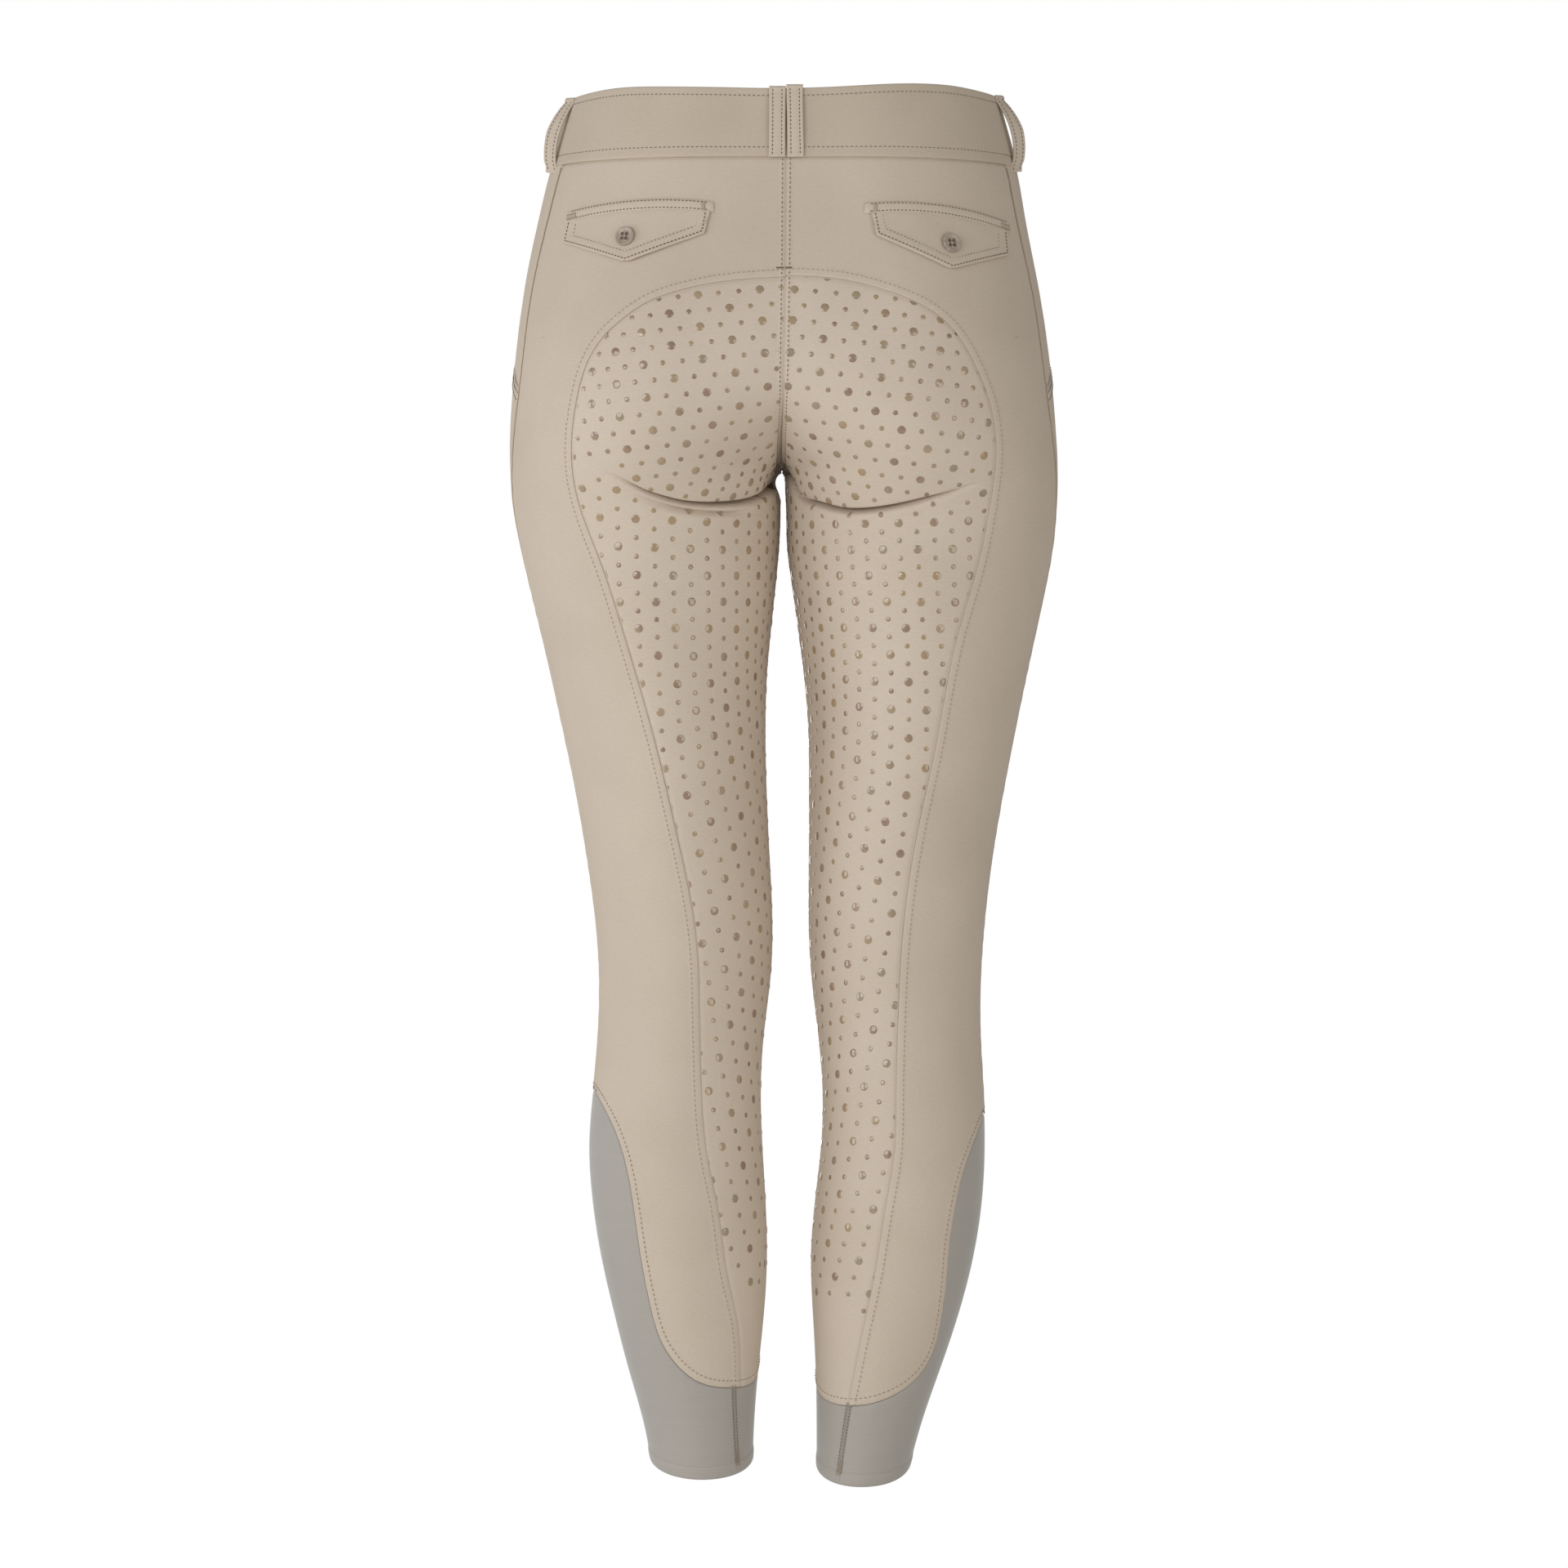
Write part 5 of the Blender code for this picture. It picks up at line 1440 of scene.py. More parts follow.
def makeSock(side, line):
    made = sockMade
    fronts, calves, feet, insteps, insides = made["columns"]
    inseamTop, innerEnd = line["innerCalfEnds"]
    inside = np.linspace(innerEnd, inseamTop, insides)
    stretches = (
        shareOf(line["sockFront"], np.linspace(1, 0, fronts)),
        shareOf(line["sock"], np.linspace(0, cut["heelShare"], calves)),
        shareOf(line["sock"], np.linspace(cut["heelShare"], 1, feet)),
        shareOf(line["footSeat"], np.linspace(1, 0, insteps)),
        places(1 + inseamTurn(inside), inside),
    )
    top = joined(*[stretch + [2, 0] for stretch in stretches])[:-1]
    ends = np.cumsum([0, fronts - 1, calves - 1, feet + insteps - 2, insides - 1])
    hemTurn = np.interp(np.arange(len(top)), ends, cut["sockHemTurns"])
    turned = (hemTurn + 1) % 2 - 1
    slant = np.where(turned > 0, cut["hemBackDrop"], cut["hemFrontRise"])
    hem = places(hemTurn, cut["hemLevel"][side] - slant * np.sin(math.pi * turned))
    points = sockAt(side, top, hem, np.linspace(0, 1, 12)[:, None])[0]
    lengths = np.linalg.norm(np.diff(points, axis=0), axis=2).sum(axis=0)
    start = np.array(made["topSteps"])[:, None]
    end = lengths - np.array(made["hemSteps"])[:, None]
    between = (np.arange(1, made["rows"]) / made["rows"])[:, None]
    down = np.concatenate([
        np.full((1, len(top)), -made["tuck"]), start + 0 * lengths,
        start[-1:] + (end[:1] - start[-1:]) * between, end,
    ])
    points, normals = sockAt(side, top, hem, down / lengths)
    out = -made["edgeSink"][0] * bell(down / made["edgeSink"][1])
    out[:2] = -made["tuckSink"]
    hemRows = len(made["hemOut"])
    out[-hemRows:] += np.array(made["hemOut"])[:, None]
    high, middle, spread = made["pucker"]
    wave = high * slowWave(runOf(points[-1]) * 1.1, 1.3 + side)[None]
    out[2:-4] += wave * bell((down[2:-4] - middle) / spread)
    outer = points + normals * out[..., None]
    corners, faces = wallOf(outer, outer - normals * body["sockCloth"], ring=True)
    addSheet("sock" + sideName(side), corners, faces, "jersey", gridUv(points, ring=True),
             nodeName("sock", side))
    makeSockSeam(side)
    row = made["hemRow"] - hemRows
    stitchRow("sockSewing" + sideName(side), outer[row], normals[row], **made["hemSewing"])


def makeSockSeam(side):
    # flat seam down the back of the calf: two edges butted under a cover of thread
    made, key = sockMade, "sockSewing" + sideName(side)
    knots = np.array(made["seam"][side])
    foot = math.pi * float(place(side, *knots[-1])[0])
    hem = cut["hemLevel"][side] - cut["hemBackDrop"] * math.sin(foot)
    knots[-1, 1] = hem + made["seamShort"]
    x, level = (spline([0, 0.5, 1], knots[:, k])(np.linspace(0, 1, 60)) for k in (0, 1))
    line = np.stack([place(side, x, level), level], axis=1)

    def coverAt(share, height):
        moved = offsetLine(side, line, side, share * made["coverHalf"], step=1.2)
        points, normals = surface(side, moved[:, 0], moved[:, 1])
        return points + normals * height, normals

    rows = [coverAt(share, height) for share, height in made["cover"]]
    outer = np.stack([points for points, _ in rows], axis=1)
    corners, faces = wallOf(outer, outer - rows[-1][1][:, None] * made["coverCloth"])
    addPiece("sockSeam" + sideName(side), corners, faces, "cover", uv=gridUv(outer))
    for share in made["coverRows"]:
        stitchRow(key, *coverAt(share, made["coverRise"]), **made["coverSewing"])
    points, normals = surface(side, line[:, 0], line[:, 1])
    points, part = points + normals * made["tackRise"], slice(*made["tackPoints"])
    barTack(key, points[part], normals[part], **made["tack"])


legLines, legPanels = {}, {}
for side in (-1, 1):
    legLines[side] = seams(side)
    legPanels[side] = makePanels(side, legLines[side])
    for name, made in panelMade.items():
        addPanel(legPanels[side][name], **made)
        sewRims(legPanels[side][name], "topstitching" + sideName(side))
    makeFacing(side, legLines[side])
    sewSideSeam(side, legLines[side])
    makeSock(side, legLines[side])
    print("leg panels ready", sideName(side))


# Waistband.
band = {
    "columns": 170,
    "overlap": 0.16,
    "overlapColumns": 20,
    "step": 0.12,
    "stepLate": 0.02,
    "pitch": 3.2,
    # share of the thread's painted shade on the band's stitches
    "dark": 0.75,
    "stitchTop": 5.6,
    "stitchFoot": 6.7,
    "puff": 0.35,
    "groove": 0.03,
    "grooveWidth": 0.8,
    "wave": 0.30,
    "waveStep": 0.22,
    # levels down the face, closer at the rows of stitches, and up the inside
    "faceLevels": (2.6, 4.2, 4.9, 5.6, 6.3, 7.2, 9.5, 13, 18, 24, 30, 35, 38.5, 40.6, 41.6, 42.3,
                   43.0, 44.0, 46.0, 48.0),
    "insideLevels": (40, 30, 20, 10, 3),
    "footRound": 1.0,
    "footInside": (0.6, 0.7),
    # how far the top edge rides up or down over the back, by x; it evens out at the sides
    "ride": ((-160, -2.6), (-144, -2.2), (-128, -0.6), (-112, 0.4), (-90, 0.0), (-65, -1.0),
             (-40, -1.7), (-16, -2.2), (15, -2.0), (45, -0.7), (78, 1.5), (98, 2.2),
             (114, 2.0), (130, 0.6), (144, -0.7), (160, -1.4)),
    "rideEnds": 0.12,
    "flat": {-1: (0.435, 0.051), 1: (0.475, 0.051)},
}


def bandProfile():
    # level and outer distance round the band's section, over the top edge and back up inside
    out, thick, height = body["bandProud"], body["bandCloth"], body["bandHeight"]
    half, foot = thick / 2, band["footRound"]

    def topRound(start, end, count):
        return [(-half + half * math.sin(a), out - half + half * math.cos(a))
                for a in np.linspace(start, end, count)]

    across, up = band["footInside"]
    return np.array(
        topRound(math.pi / 2, 0, 5)
        + [(-level, out) for level in band["faceLevels"]]
        + [(-height + foot - foot * math.sin(a), out - foot + foot * math.cos(a))
           for a in (0.5, 1.0, math.pi / 2)]
        + [(-height, out - thick + across), (-height + up, out - thick)]
        + [(-level, out - thick) for level in band["insideLevels"]]
        + topRound(math.pi, math.pi / 2, 4)[:-1]
    )


def bandRelief(level, out, arc):
    depth, height = -level, body["bandHeight"]
    low, high = band["stitchTop"], height - band["stitchFoot"]
    share = np.clip((depth - low) / (high - low), 0, 1)
    lift = band["puff"] * np.sin(math.pi * share) ** 0.6
    for row in (low, high):
        lift = lift - band["groove"] * bell((depth - row) / band["grooveWidth"])
    wave = slowWave(arc * band["waveStep"], 2.2) * np.sin(math.pi * np.clip(depth / height, 0, 1))
    return np.where(out >= body["bandProud"] - 0.01, lift + band["wave"] * wave, 0.0)


def bandAt(side, turn, level, out):
    ride = np.array(band["ride"])
    x = surface(side, turn, level)[0][..., 0]
    high = spline(ride[:, 0], ride[:, 1])(x) * smoothStep(turn / band["rideEnds"] + 0.5)
    points, normals = surface(side, turn, level + high * (1 + level / body["bandHeight"]))
    rise = smoothStep((band["step"] - 1 - turn + band["stepLate"]) / band["step"]) * (side > 0)
    lift = out + bandRelief(level, out, rowRuns(points)) + rise * (body["bandCloth"] + body["laidGap"])
    return points + normals * lift[..., None], normals


def makeBand(side):
    turn = np.linspace(1, -1, band["columns"])
    if side > 0:  # the right half runs on over the left one
        lap = np.linspace(-1, -1 - band["overlap"], band["overlapColumns"])
        turn = np.concatenate([turn, lap[1:]])
    loop = bandProfile()
    level = loop[:, :1] + 0 * turn
    points = bandAt(side, turn + 0 * level, level, loop[:, 1:] + 0 * turn)[0]
    rows, cols = points.shape[:2]
    faces = gridFaces(rows, cols, tube=True)
    for col in (0, cols - 1):
        faces.append([int(row * cols + col) for row in range(rows)])
    addSheet("waistband" + sideName(side), points.reshape(-1, 3), faces, "band",
             gridUv(points)[:rows * cols], nodeName("waistband", side))
    for row in (-band["stitchTop"], -body["bandHeight"] + band["stitchFoot"]):
        line, facing = bandAt(side, turn[None], np.full((1, cols), row),
                              np.full((1, cols), body["bandProud"]))
        stitchRow("bandSewing", line[0], facing[0], pitch=band["pitch"], dark=band["dark"])


# Belt loops.
loopMade = {
    "width": 11.2, "cloth": 1.6, "steps": 54,
    "foot": 1 / 12,  # share of the strap that is sewn down at each end
    "lean": 0.35,
    "tuckFrom": 0.86,
    "tuckIn": 3.2,
    "endRound": 0.9,
    "endLeast": 0.04,
    "lip": (0.5, 1.6, 1.1),  # fold at the top end: height, middle and width
    "narrow": 0.03,
    "stitch": 3.1,
    "stitchRise": 0.56,
    "pitch": 2.7,
    "flat": (0.0112, 0.056),
}
# Where each loop stands: side, turn, top and bottom level, bow off the band, and its twist in
# degrees at the top, the middle and the bottom.
loops = (
    ("back", -1, 0.9712, -1.3, -49.6, 1.6, (0, 0, 0)),
    ("back", 1, 0.9712, -0.2, -49.6, 1.6, (0, 0, 0)),
    ("side", -1, 0.122, -2.6, -54.0, 4.8, (14, 42, 30)),
    ("side", 1, 0.112, -0.6, -53.0, 5.8, (14, 40, 30)),
    ("front", -1, -0.600, 0.8, -50.0, 2.6, (0, 0, 0)),
    ("front", 1, -0.600, 0.8, -50.0, 2.6, (0, 0, 0)),
)
strapSection = (  # across and out, over the face of the folded strap and back beneath it
    (-5.6, 0.0), (-5.52, 0.42), (-5.2, 0.74), (-4.6, 0.84), (-3.8, 0.80), (-3.1, 0.56),
    (-2.4, 0.78), (-1.2, 0.88), (0, 0.90), (1.2, 0.88), (2.4, 0.78), (3.1, 0.56), (3.8, 0.80),
    (4.6, 0.84), (5.2, 0.74), (5.52, 0.42), (5.6, 0.0), (5.4, -0.5), (4.9, -0.78), (2.0, -0.8),
    (-2.0, -0.8), (-4.9, -0.78), (-5.4, -0.5),
)


def frameAt(side, turn, level):
    point, normal = surface(side, np.array([turn]), np.array([level]))
    normal = normal[0] / np.linalg.norm(normal[0])
    along = np.cross(normal, [0, 0, 1.0])
    return point[0], normal, along / np.linalg.norm(along)


def makeLoop(where, side, turn, top, bottom, bow, twists):
    made, section = loopMade, np.array(strapSection)
    rings, rows, facings = [], ([], []), []
    even = np.linspace(0, 1, made["steps"])
    for step in (smoothStep(even) + even) / 2:
        point, normal, along = frameAt(side, turn, top + (bottom - top) * step)
        lifted = min(max((step - made["foot"]) / (1 - 2 * made["foot"]), 0), 1)
        angle = math.radians(np.interp(step, [0, 0.5, 1], twists)) * side
        width = along * math.cos(angle) - normal * math.sin(angle)
        face = normal * math.cos(angle) + along * math.sin(angle)
        tilt = abs(math.sin(angle))
        stand = body["bandProud"] + body["laidGap"] + made["cloth"] / 2
        stand += bow * math.sin(math.pi * lifted) ** 0.8 + made["width"] / 2 * tilt * made["lean"]
        stand -= made["tuckIn"] * tilt * smoothStep((step - made["tuckFrom"]) / (1 - made["tuckFrom"]))
        middle = point + normal * stand
        fromEnd = min(step, 1 - step) * (top - bottom)
        plump = 1 - (1 - min(fromEnd / made["endRound"], 1)) ** 2
        high, start, spread = made["lip"]
        lip = high * math.exp(-((fromEnd - start) / spread) ** 2) if step < 0.5 else 0.0
        waist = 1 - made["narrow"] * math.sin(math.pi * lifted)
        height = section[:, 1] * math.sqrt(max(plump, made["endLeast"]))
        height = height + np.where(section[:, 1] > 0, lip, 0)
        rings.append(middle + width * (section[:, :1] * waist) + face * height[:, None])
        facings.append(face)
        for row, offset in zip(rows, (-made["stitch"], made["stitch"])):
            row.append(middle + width * offset * waist + face * (made["stitchRise"] + lip))
    rings = np.array(rings)
    count, cols = rings.shape[:2]
    faces = gridFaces(count, cols, ring=True)
    faces += [list(range(cols)), [(count - 1) * cols + k for k in range(cols)]]
    addSheet(where + "Loop" + sideName(side), rings.reshape(-1, 3), faces, "cloth",
             gridUv(rings, ring=True)[:count * cols], nodeName("belt_loop_" + where, side))
    for row in rows:
        stitchRow("loopSewing", np.array(row)[2:-1], np.array(facings)[2:-1], pitch=made["pitch"])


# Hip pockets: a welt with a pointed flap under it, each with x and level from the centre out.
pocketSize = {
    -1: {
        "weltX": (47.0, 146.5), "weltLevels": (-79.8, -77.8, -83.4), "weltHeight": 7.4,
        "flapX": (49.5, 144.0), "footX": (53.3, 105.3, 148.1),
        "footLevels": (-101.7, -121.2, -105.2), "button": (105.5, -103.8),
    },
    1: {
        "weltX": (54.0, 152.5), "weltLevels": (-80.8, -80.6, -90.0), "weltHeight": 7.4,
        "flapX": (58.0, 149.4), "footX": (62.1, 111.9, 150.5),
        "footLevels": (-103.4, -125.5, -113.3), "button": (111.0, -108.1),
    },
}
pocketMade = {
    "stitches": (1.8, 6.6),
    "pitch": 2.6,
    # section down the welt: share of its height and stand; two of its rows are stitched
    "weltSection": (
        (0, -0.45), (.03, .05), (.08, .34), (.16, .42), (.24, .60), (.30, .68), (.40, .74),
        (.5, .76), (.62, .74), (.74, .64), (.84, .46), (.92, .38), (.97, .1), (1.0, -0.5),
    ),
    "weltRows": (3, 10),
    "weltSink": 0.55,
    "weltUnder": 0.2,
    "weltEnd": 0.8,
    "weltWave": 0.12,
    # tacks at the welt's ends: which end, x and drop from there at start and end, and width
    "tacks": ((0, 7.2, 7.2, 1.6, 7.2, 2.6), (1, -1.2, -7.4, 4.6, 4.6, 3.8)),
    # the welt's tacks get painted shade only where their strokes turn
    "tack": {"step": 0.44, "radius": 0.26, "sunk": 0.0},
    "tackRise": 0.2,
    "tackSteps": 14,
    "flapUnder": 1.2,
    "flapLift": 1.7,
    "rootSink": (0.5, 0.1),
    "border": (0.60, 5.6, 2.4),  # turned-in edge: height over the field, width and slope
    "edgeRound": 1.0,
    "edgeCloth": 0.35,
    "field": (7.0, 4.0),  # where the wavy middle starts, in from the edge, and its slope
    "fieldWave": 0.16,
    "groove": 0.16,
    "grooveWidth": 0.7,
    "stitchEnd": 7.0,  # how far down the flap's sides its stitches start
    "pointShare": 0.55,
    "pointRound": (1.0, 0.015),
    "close": (0, .006, .014, .026, .045, .07, .11),  # rows near an edge, as shares
    "weltFlat": (0.101, 0.0105),
    "flapFlat": (0.099, 0.040),
    "flapArea": 0.0031,
}


def weltTop(size, x):
    (first, last), (inner, middle, outer) = size["weltX"], size["weltLevels"]
    mean, share = (inner + outer) / 2, (2 * x - first - last) / (last - first)
    return mean + (middle - mean) * (1 - share ** 2) + (outer - inner) / 2 * share


def onBack(side, x, level, height):
    x, level, height = np.broadcast_arrays(x, level, height)
    turn = place(side, x, level).reshape(x.shape)
    points, normals = surface(side, turn, level)
    return points + normals * height[..., None], normals


def nearEdge(x, level, corners):
    # distance to the nearest of the straight edges between corners
    best = np.full(np.shape(x), 1e9)
    for start, end in zip(corners[:-1], corners[1:]):
        along, down = end[0] - start[0], end[1] - start[1]
        share = ((x - start[0]) * along + (level - start[1]) * down) / (along ** 2 + down ** 2)
        share = np.clip(share, 0, 1)
        away = np.hypot(x - start[0] - share * along, level - start[1] - share * down)
        best = np.minimum(best, away)
    return best


def makeWelt(side):
    size, made, key = pocketSize[side], pocketMade, "pocketSewing" + sideName(side)
    down, out = np.array(made["weltSection"]).T[..., None]
    first, last = size["weltX"]
    x = np.linspace(first, last, 64)[None]
    level = weltTop(size, x) - size["weltHeight"] * down
    fromEnd = np.minimum(x - first, last - x) / made["weltEnd"]
    lay = body["laidGap"] + body["cloth"]
    height = lay - made["weltSink"] + out - made["weltEnd"] * bell(fromEnd)
    height = height + made["weltWave"] * slowWave(x * 0.7, 0.6 + side)
    points, normals = onBack(side, x, level, height)
    inner, _ = onBack(side, x, level, body["laidGap"] - made["weltUnder"])
    corners, faces = wallOf(points, inner)
    addSheet("pocketWelt" + sideName(side), corners, faces, "cloth", gridUv(points),
             nodeName("pocket_welt", side))
    for row in made["weltRows"]:
        stitchRow(key, points[row, 2:-2], normals[row, 2:-2], pitch=made["pitch"])
    for end, startX, endX, startDrop, endDrop, width in made["tacks"]:
        x = size["weltX"][end] + np.linspace(startX, endX, made["tackSteps"])
        level = weltTop(size, x) - np.linspace(startDrop, endDrop, made["tackSteps"])
        path, facing = onBack(side, x, level, lay + made["tackRise"])
        barTack(key, path, facing, width=width, **made["tack"])


def flapTop(size, x):
    return weltTop(size, x) - size["weltHeight"] + pocketMade["flapUnder"]


def flapLift(side, share, down):
    # how far a flap stands off the back, most at its foot
    wave = 0.6 + 0.4 * np.sin(share * 5 + side)
    return body["laidGap"] + pocketMade["flapLift"] * down ** 2 * wave


def makeFlap(side):
    size, made = pocketSize[side], pocketMade
    corner, close = made["pointShare"], np.array(made["close"])
    down = np.concatenate([[0, .04], np.linspace(.08, .84, 15), 1 - close[::-1]])[:, None]
    share = np.concatenate([
        close, np.linspace(.14, corner, 17), np.linspace(corner, .87, 14)[1:], 1 - close[::-1],
    ])[None]
    first, last = size["flapX"]
    topX = first + (last - first) * share
    footX = np.interp(share, (0, corner, 1), size["footX"])
    foot = np.interp(share, (0, corner, 1), size["footLevels"])
    high, wide = made["pointRound"]
    foot = foot + high * bell((share - corner) / wide)
    top = flapTop(size, topX)
    x = topX + (footX - topX) * down
    level = top + (foot - top) * down
    corners = [(first, top[0, 0] + 6), *zip(size["footX"], size["footLevels"]),
               (last, top[0, -1] + 6)]
    edge = nearEdge(x, level, corners)
    rounded = np.sqrt(1 - (1 - np.clip(edge / made["edgeRound"], 0, 1)) ** 2)
    wall = body["cloth"] * (made["edgeCloth"] + (1 - made["edgeCloth"]) * rounded)
    border, wide, slope = made["border"]
    wall = wall + border * (1 - smoothStep((edge - wide) / slope))
    inset, over = made["field"]
    field = smoothStep((edge - inset) / over)
    wall = wall + made["fieldWave"] * slowWave(x * 0.45 + level * 0.8, 0.7) * field
    for row in made["stitches"]:
        wall = wall - made["groove"] * bell((edge - row) / made["grooveWidth"])
    deep, over = made["rootSink"]
    lift = flapLift(side, share, down) - deep * (1 - smoothStep(down / over))
    points, _ = onBack(side, x, level, lift + wall)
    inner, _ = onBack(side, x, level, lift)
    pieces, faces = wallOf(points, inner)
    addSheet("pocketFlap" + sideName(side), pieces, faces, "cloth", gridUv(points),
             nodeName("pocket_flap", side))
    for row in made["stitches"]:
        path, facing = onFlap(side, size, *insetPath(corners, row).T)
        if row < wide:
            path = path + facing * border
        stitchRow("pocketSewing" + sideName(side), path, facing, pitch=made["pitch"])


def insetPath(corners, distance):
    # open path of straight edges moved inwards, with its corners mitred
    points = np.array(corners, float)
    edges = np.diff(points, axis=0)
    edges /= np.linalg.norm(edges, axis=1)[:, None]
    inward = np.stack([-edges[:, 1], edges[:, 0]], axis=1)
    inward *= np.sign(((points.mean(axis=0) - points[:-1]) * inward).sum(axis=1))[:, None]
    moved = [points[0] + inward[0] * distance]
    for k in range(1, len(points) - 1):
        mitre = inward[k - 1] + inward[k]
        moved.append(points[k] + mitre * distance / (mitre @ inward[k]))
    moved = np.array(moved + [points[-1] + inward[-1] * distance])
    end = pocketMade["stitchEnd"]
    run = runOf(moved)
    return drawnAt(np.arange(end + distance * 0.2, run[-1] - end, 1.0), run, moved)


def onFlap(side, size, x, level):
    # places on the outside of a flap's field, just over the cloth
    foot, (first, last) = np.interp(x, size["footX"], size["footLevels"]), size["flapX"]
    down = (level - flapTop(size, x)) / (foot - flapTop(size, x))
    lift = flapLift(side, (x - first) / (last - first), down)
    return onBack(side, x, level, lift + body["cloth"] + body["stitchRise"])


# Buttons.
buttonMade = {
    "segments": 56,
    "holes": 4,
    "holeRing": 0.33,
    "hole": 0.21,
    "holeSegments": 20,
    # radius and height of the turned face, as shares of its radius and thickness
    "profile": (
        (0.0, 0.66), (0.30, 0.66), (0.50, 0.67), (0.62, 0.70), (0.72, 0.79), (0.79, 0.92),
        (0.85, 0.99), (0.90, 1.0), (0.95, 0.96), (0.98, 0.84), (1.0, 0.66), (1.0, 0.36),
        (0.97, 0.18), (0.90, 0.05), (0.80, 0.0), (0.0, 0.0),
    ),
    "threadLevel": 0.38,
    "threadIn": 0.9,
    "thread": 0.42,
    "shankFoot": 1.0,  # where the wound shank ends, over the cloth
    "shankSteps": 6,
    "flap": {"radius": 6.8, "thick": 2.4},
    "waist": {"radius": 7.5, "thick": 2.8},
    "waistTurn": -0.935,
}


def makeButton(name, node, side, turn, level, out, radius, thick, key):
    point, normal, along = frameAt(side, turn, level)
    up = np.cross(along, normal)
    axes = np.stack([along, -up, normal], axis=1)
    base = point + normal * out
    profile = np.array(buttonMade["profile"])
    count = buttonMade["segments"]
    angles = math.tau * np.arange(count) / count
    form = bmesh.new()
    rings = []
    for share, height in profile:
        reach = radius * share
        rings.append([form.verts.new((reach * math.cos(a), reach * math.sin(a), height * thick))
                      for a in (angles if share else [0])])
    for first, second in zip(rings, rings[1:]):
        for j in range(count):
            # the middle of a face is one point, so its faces there have three corners
            around = (first[j % len(first)], first[(j + 1) % len(first)],
                      second[(j + 1) % len(second)], second[j % len(second)])
            form.faces.new(list(dict.fromkeys(around)))
    bmesh.ops.recalc_face_normals(form, faces=form.faces)
    blank = addObject(name + "Blank", meshOf(name, form))
    drill = bmesh.new()
    holes = []
    for hole in range(buttonMade["holes"]):
        angle = math.pi / 4 + math.tau * hole / buttonMade["holes"]
        middle = np.array([math.cos(angle), math.sin(angle), 0]) * radius * buttonMade["holeRing"]
        holes.append(middle)
        made = bmesh.ops.create_cone(
            drill, cap_ends=True, segments=buttonMade["holeSegments"], depth=4 * thick,
            radius1=radius * buttonMade["hole"], radius2=radius * buttonMade["hole"],
        )
        for vert in made["verts"]:
            vert.co += mathutils.Vector(middle)
    tool = addObject(name + "Drill", meshOf(name + "Drill", drill))
    bore = blank.modifiers.new("holes", "BOOLEAN")
    bore.operation, bore.solver, bore.object = "DIFFERENCE", "EXACT", tool
    ready = blank.evaluated_get(bpy.context.evaluated_depsgraph_get()).to_mesh()
    points = np.array([vert.co[:] for vert in ready.vertices]) @ axes.T + base
    faces = [list(face.vertices) for face in ready.polygons]
    for old in (blank, tool):
        bpy.data.objects.remove(old)
    addPiece(name, points, faces, "resin", node=node, sharp=35)
    for middle in holes:
        # the thread lies sunk in the hole, drawn wholly in the thread's painted-shade colour so that
        # the holes read dark, and a wound shank of it holds the button off the cloth
        high, steps = buttonMade["threadLevel"] * thick, buttonMade["shankSteps"]
        drop = (out + high - buttonMade["shankFoot"]) * np.linspace(0, 1, steps)[:, None]
        fall = normal * (high - drop)
        path = base + axes @ (middle * buttonMade["threadIn"]) + fall
        strand(key, path, np.repeat(along[None], steps, axis=0),
               np.full(steps, buttonMade["thread"]), np.ones(steps))


# Fly.
flyMade = {
    "width": 34.0, "length": 128.0, "straight": 0.62, "stitches": (2.0, 6.5),
    "edgeCloth": 0.4, "groove": 0.25, "grooveWidth": 0.8, "curveEnd": 1.02, "narrowest": 0.02,
    "stitchEnds": (0.985, 0.12),  # as shares of its length and width
    "close": (0, .006, .014, .026, .045, .07),
    "flat": (0.036, 0.129), "area": 0.0042,
}


def makeFly():
    made = flyMade
    close = 1 - np.array(made["close"])[::-1]
    down = np.concatenate([[0], np.linspace(.03, .9, 40), close])
    across = np.concatenate([[0], np.linspace(.05, .9, 16), close])
    level = -body["bandHeight"] - body["laidGap"] - made["length"] * down
    curved = np.clip((down - made["straight"]) / (made["curveEnd"] - made["straight"]), 0, 1)
    width = made["width"] * np.sqrt(np.clip(1 - curved ** 2, made["narrowest"], 1))
    turn = -1 + width[:, None] * across[None] / cut["frontPerTurn"]
    points, normals = surface(1, turn, level[:, None] + 0 * turn)
    edge = np.minimum(width[:, None] * (1 - across[None]), made["length"] * (1 - down[:, None]))
    wall = made["edgeCloth"] + (1 - made["edgeCloth"]) * np.sqrt(np.clip(edge, 0, 1))
    wall = body["cloth"] * wall
    for row in made["stitches"]:
        wall = wall - made["groove"] * bell((edge - row) / made["grooveWidth"])
    inner = points + normals * body["laidGap"]
    corners, faces = wallOf(inner + normals * wall[..., None], inner)
    addSheet("flyFlap", corners, faces, "cloth", gridUv(points), "fly")
    for row in made["stitches"]:
        share = 1 - row / width
        keep = (down < made["stitchEnds"][0]) & (share > made["stitchEnds"][1])
        turn = -1 + (width * share)[keep] / cut["frontPerTurn"]
        line, facing = surface(1, turn, level[keep])
        rise = body["laidGap"] + body["cloth"] + body["stitchRise"]
        stitchRow("frontSewing", line + facing * rise, facing)


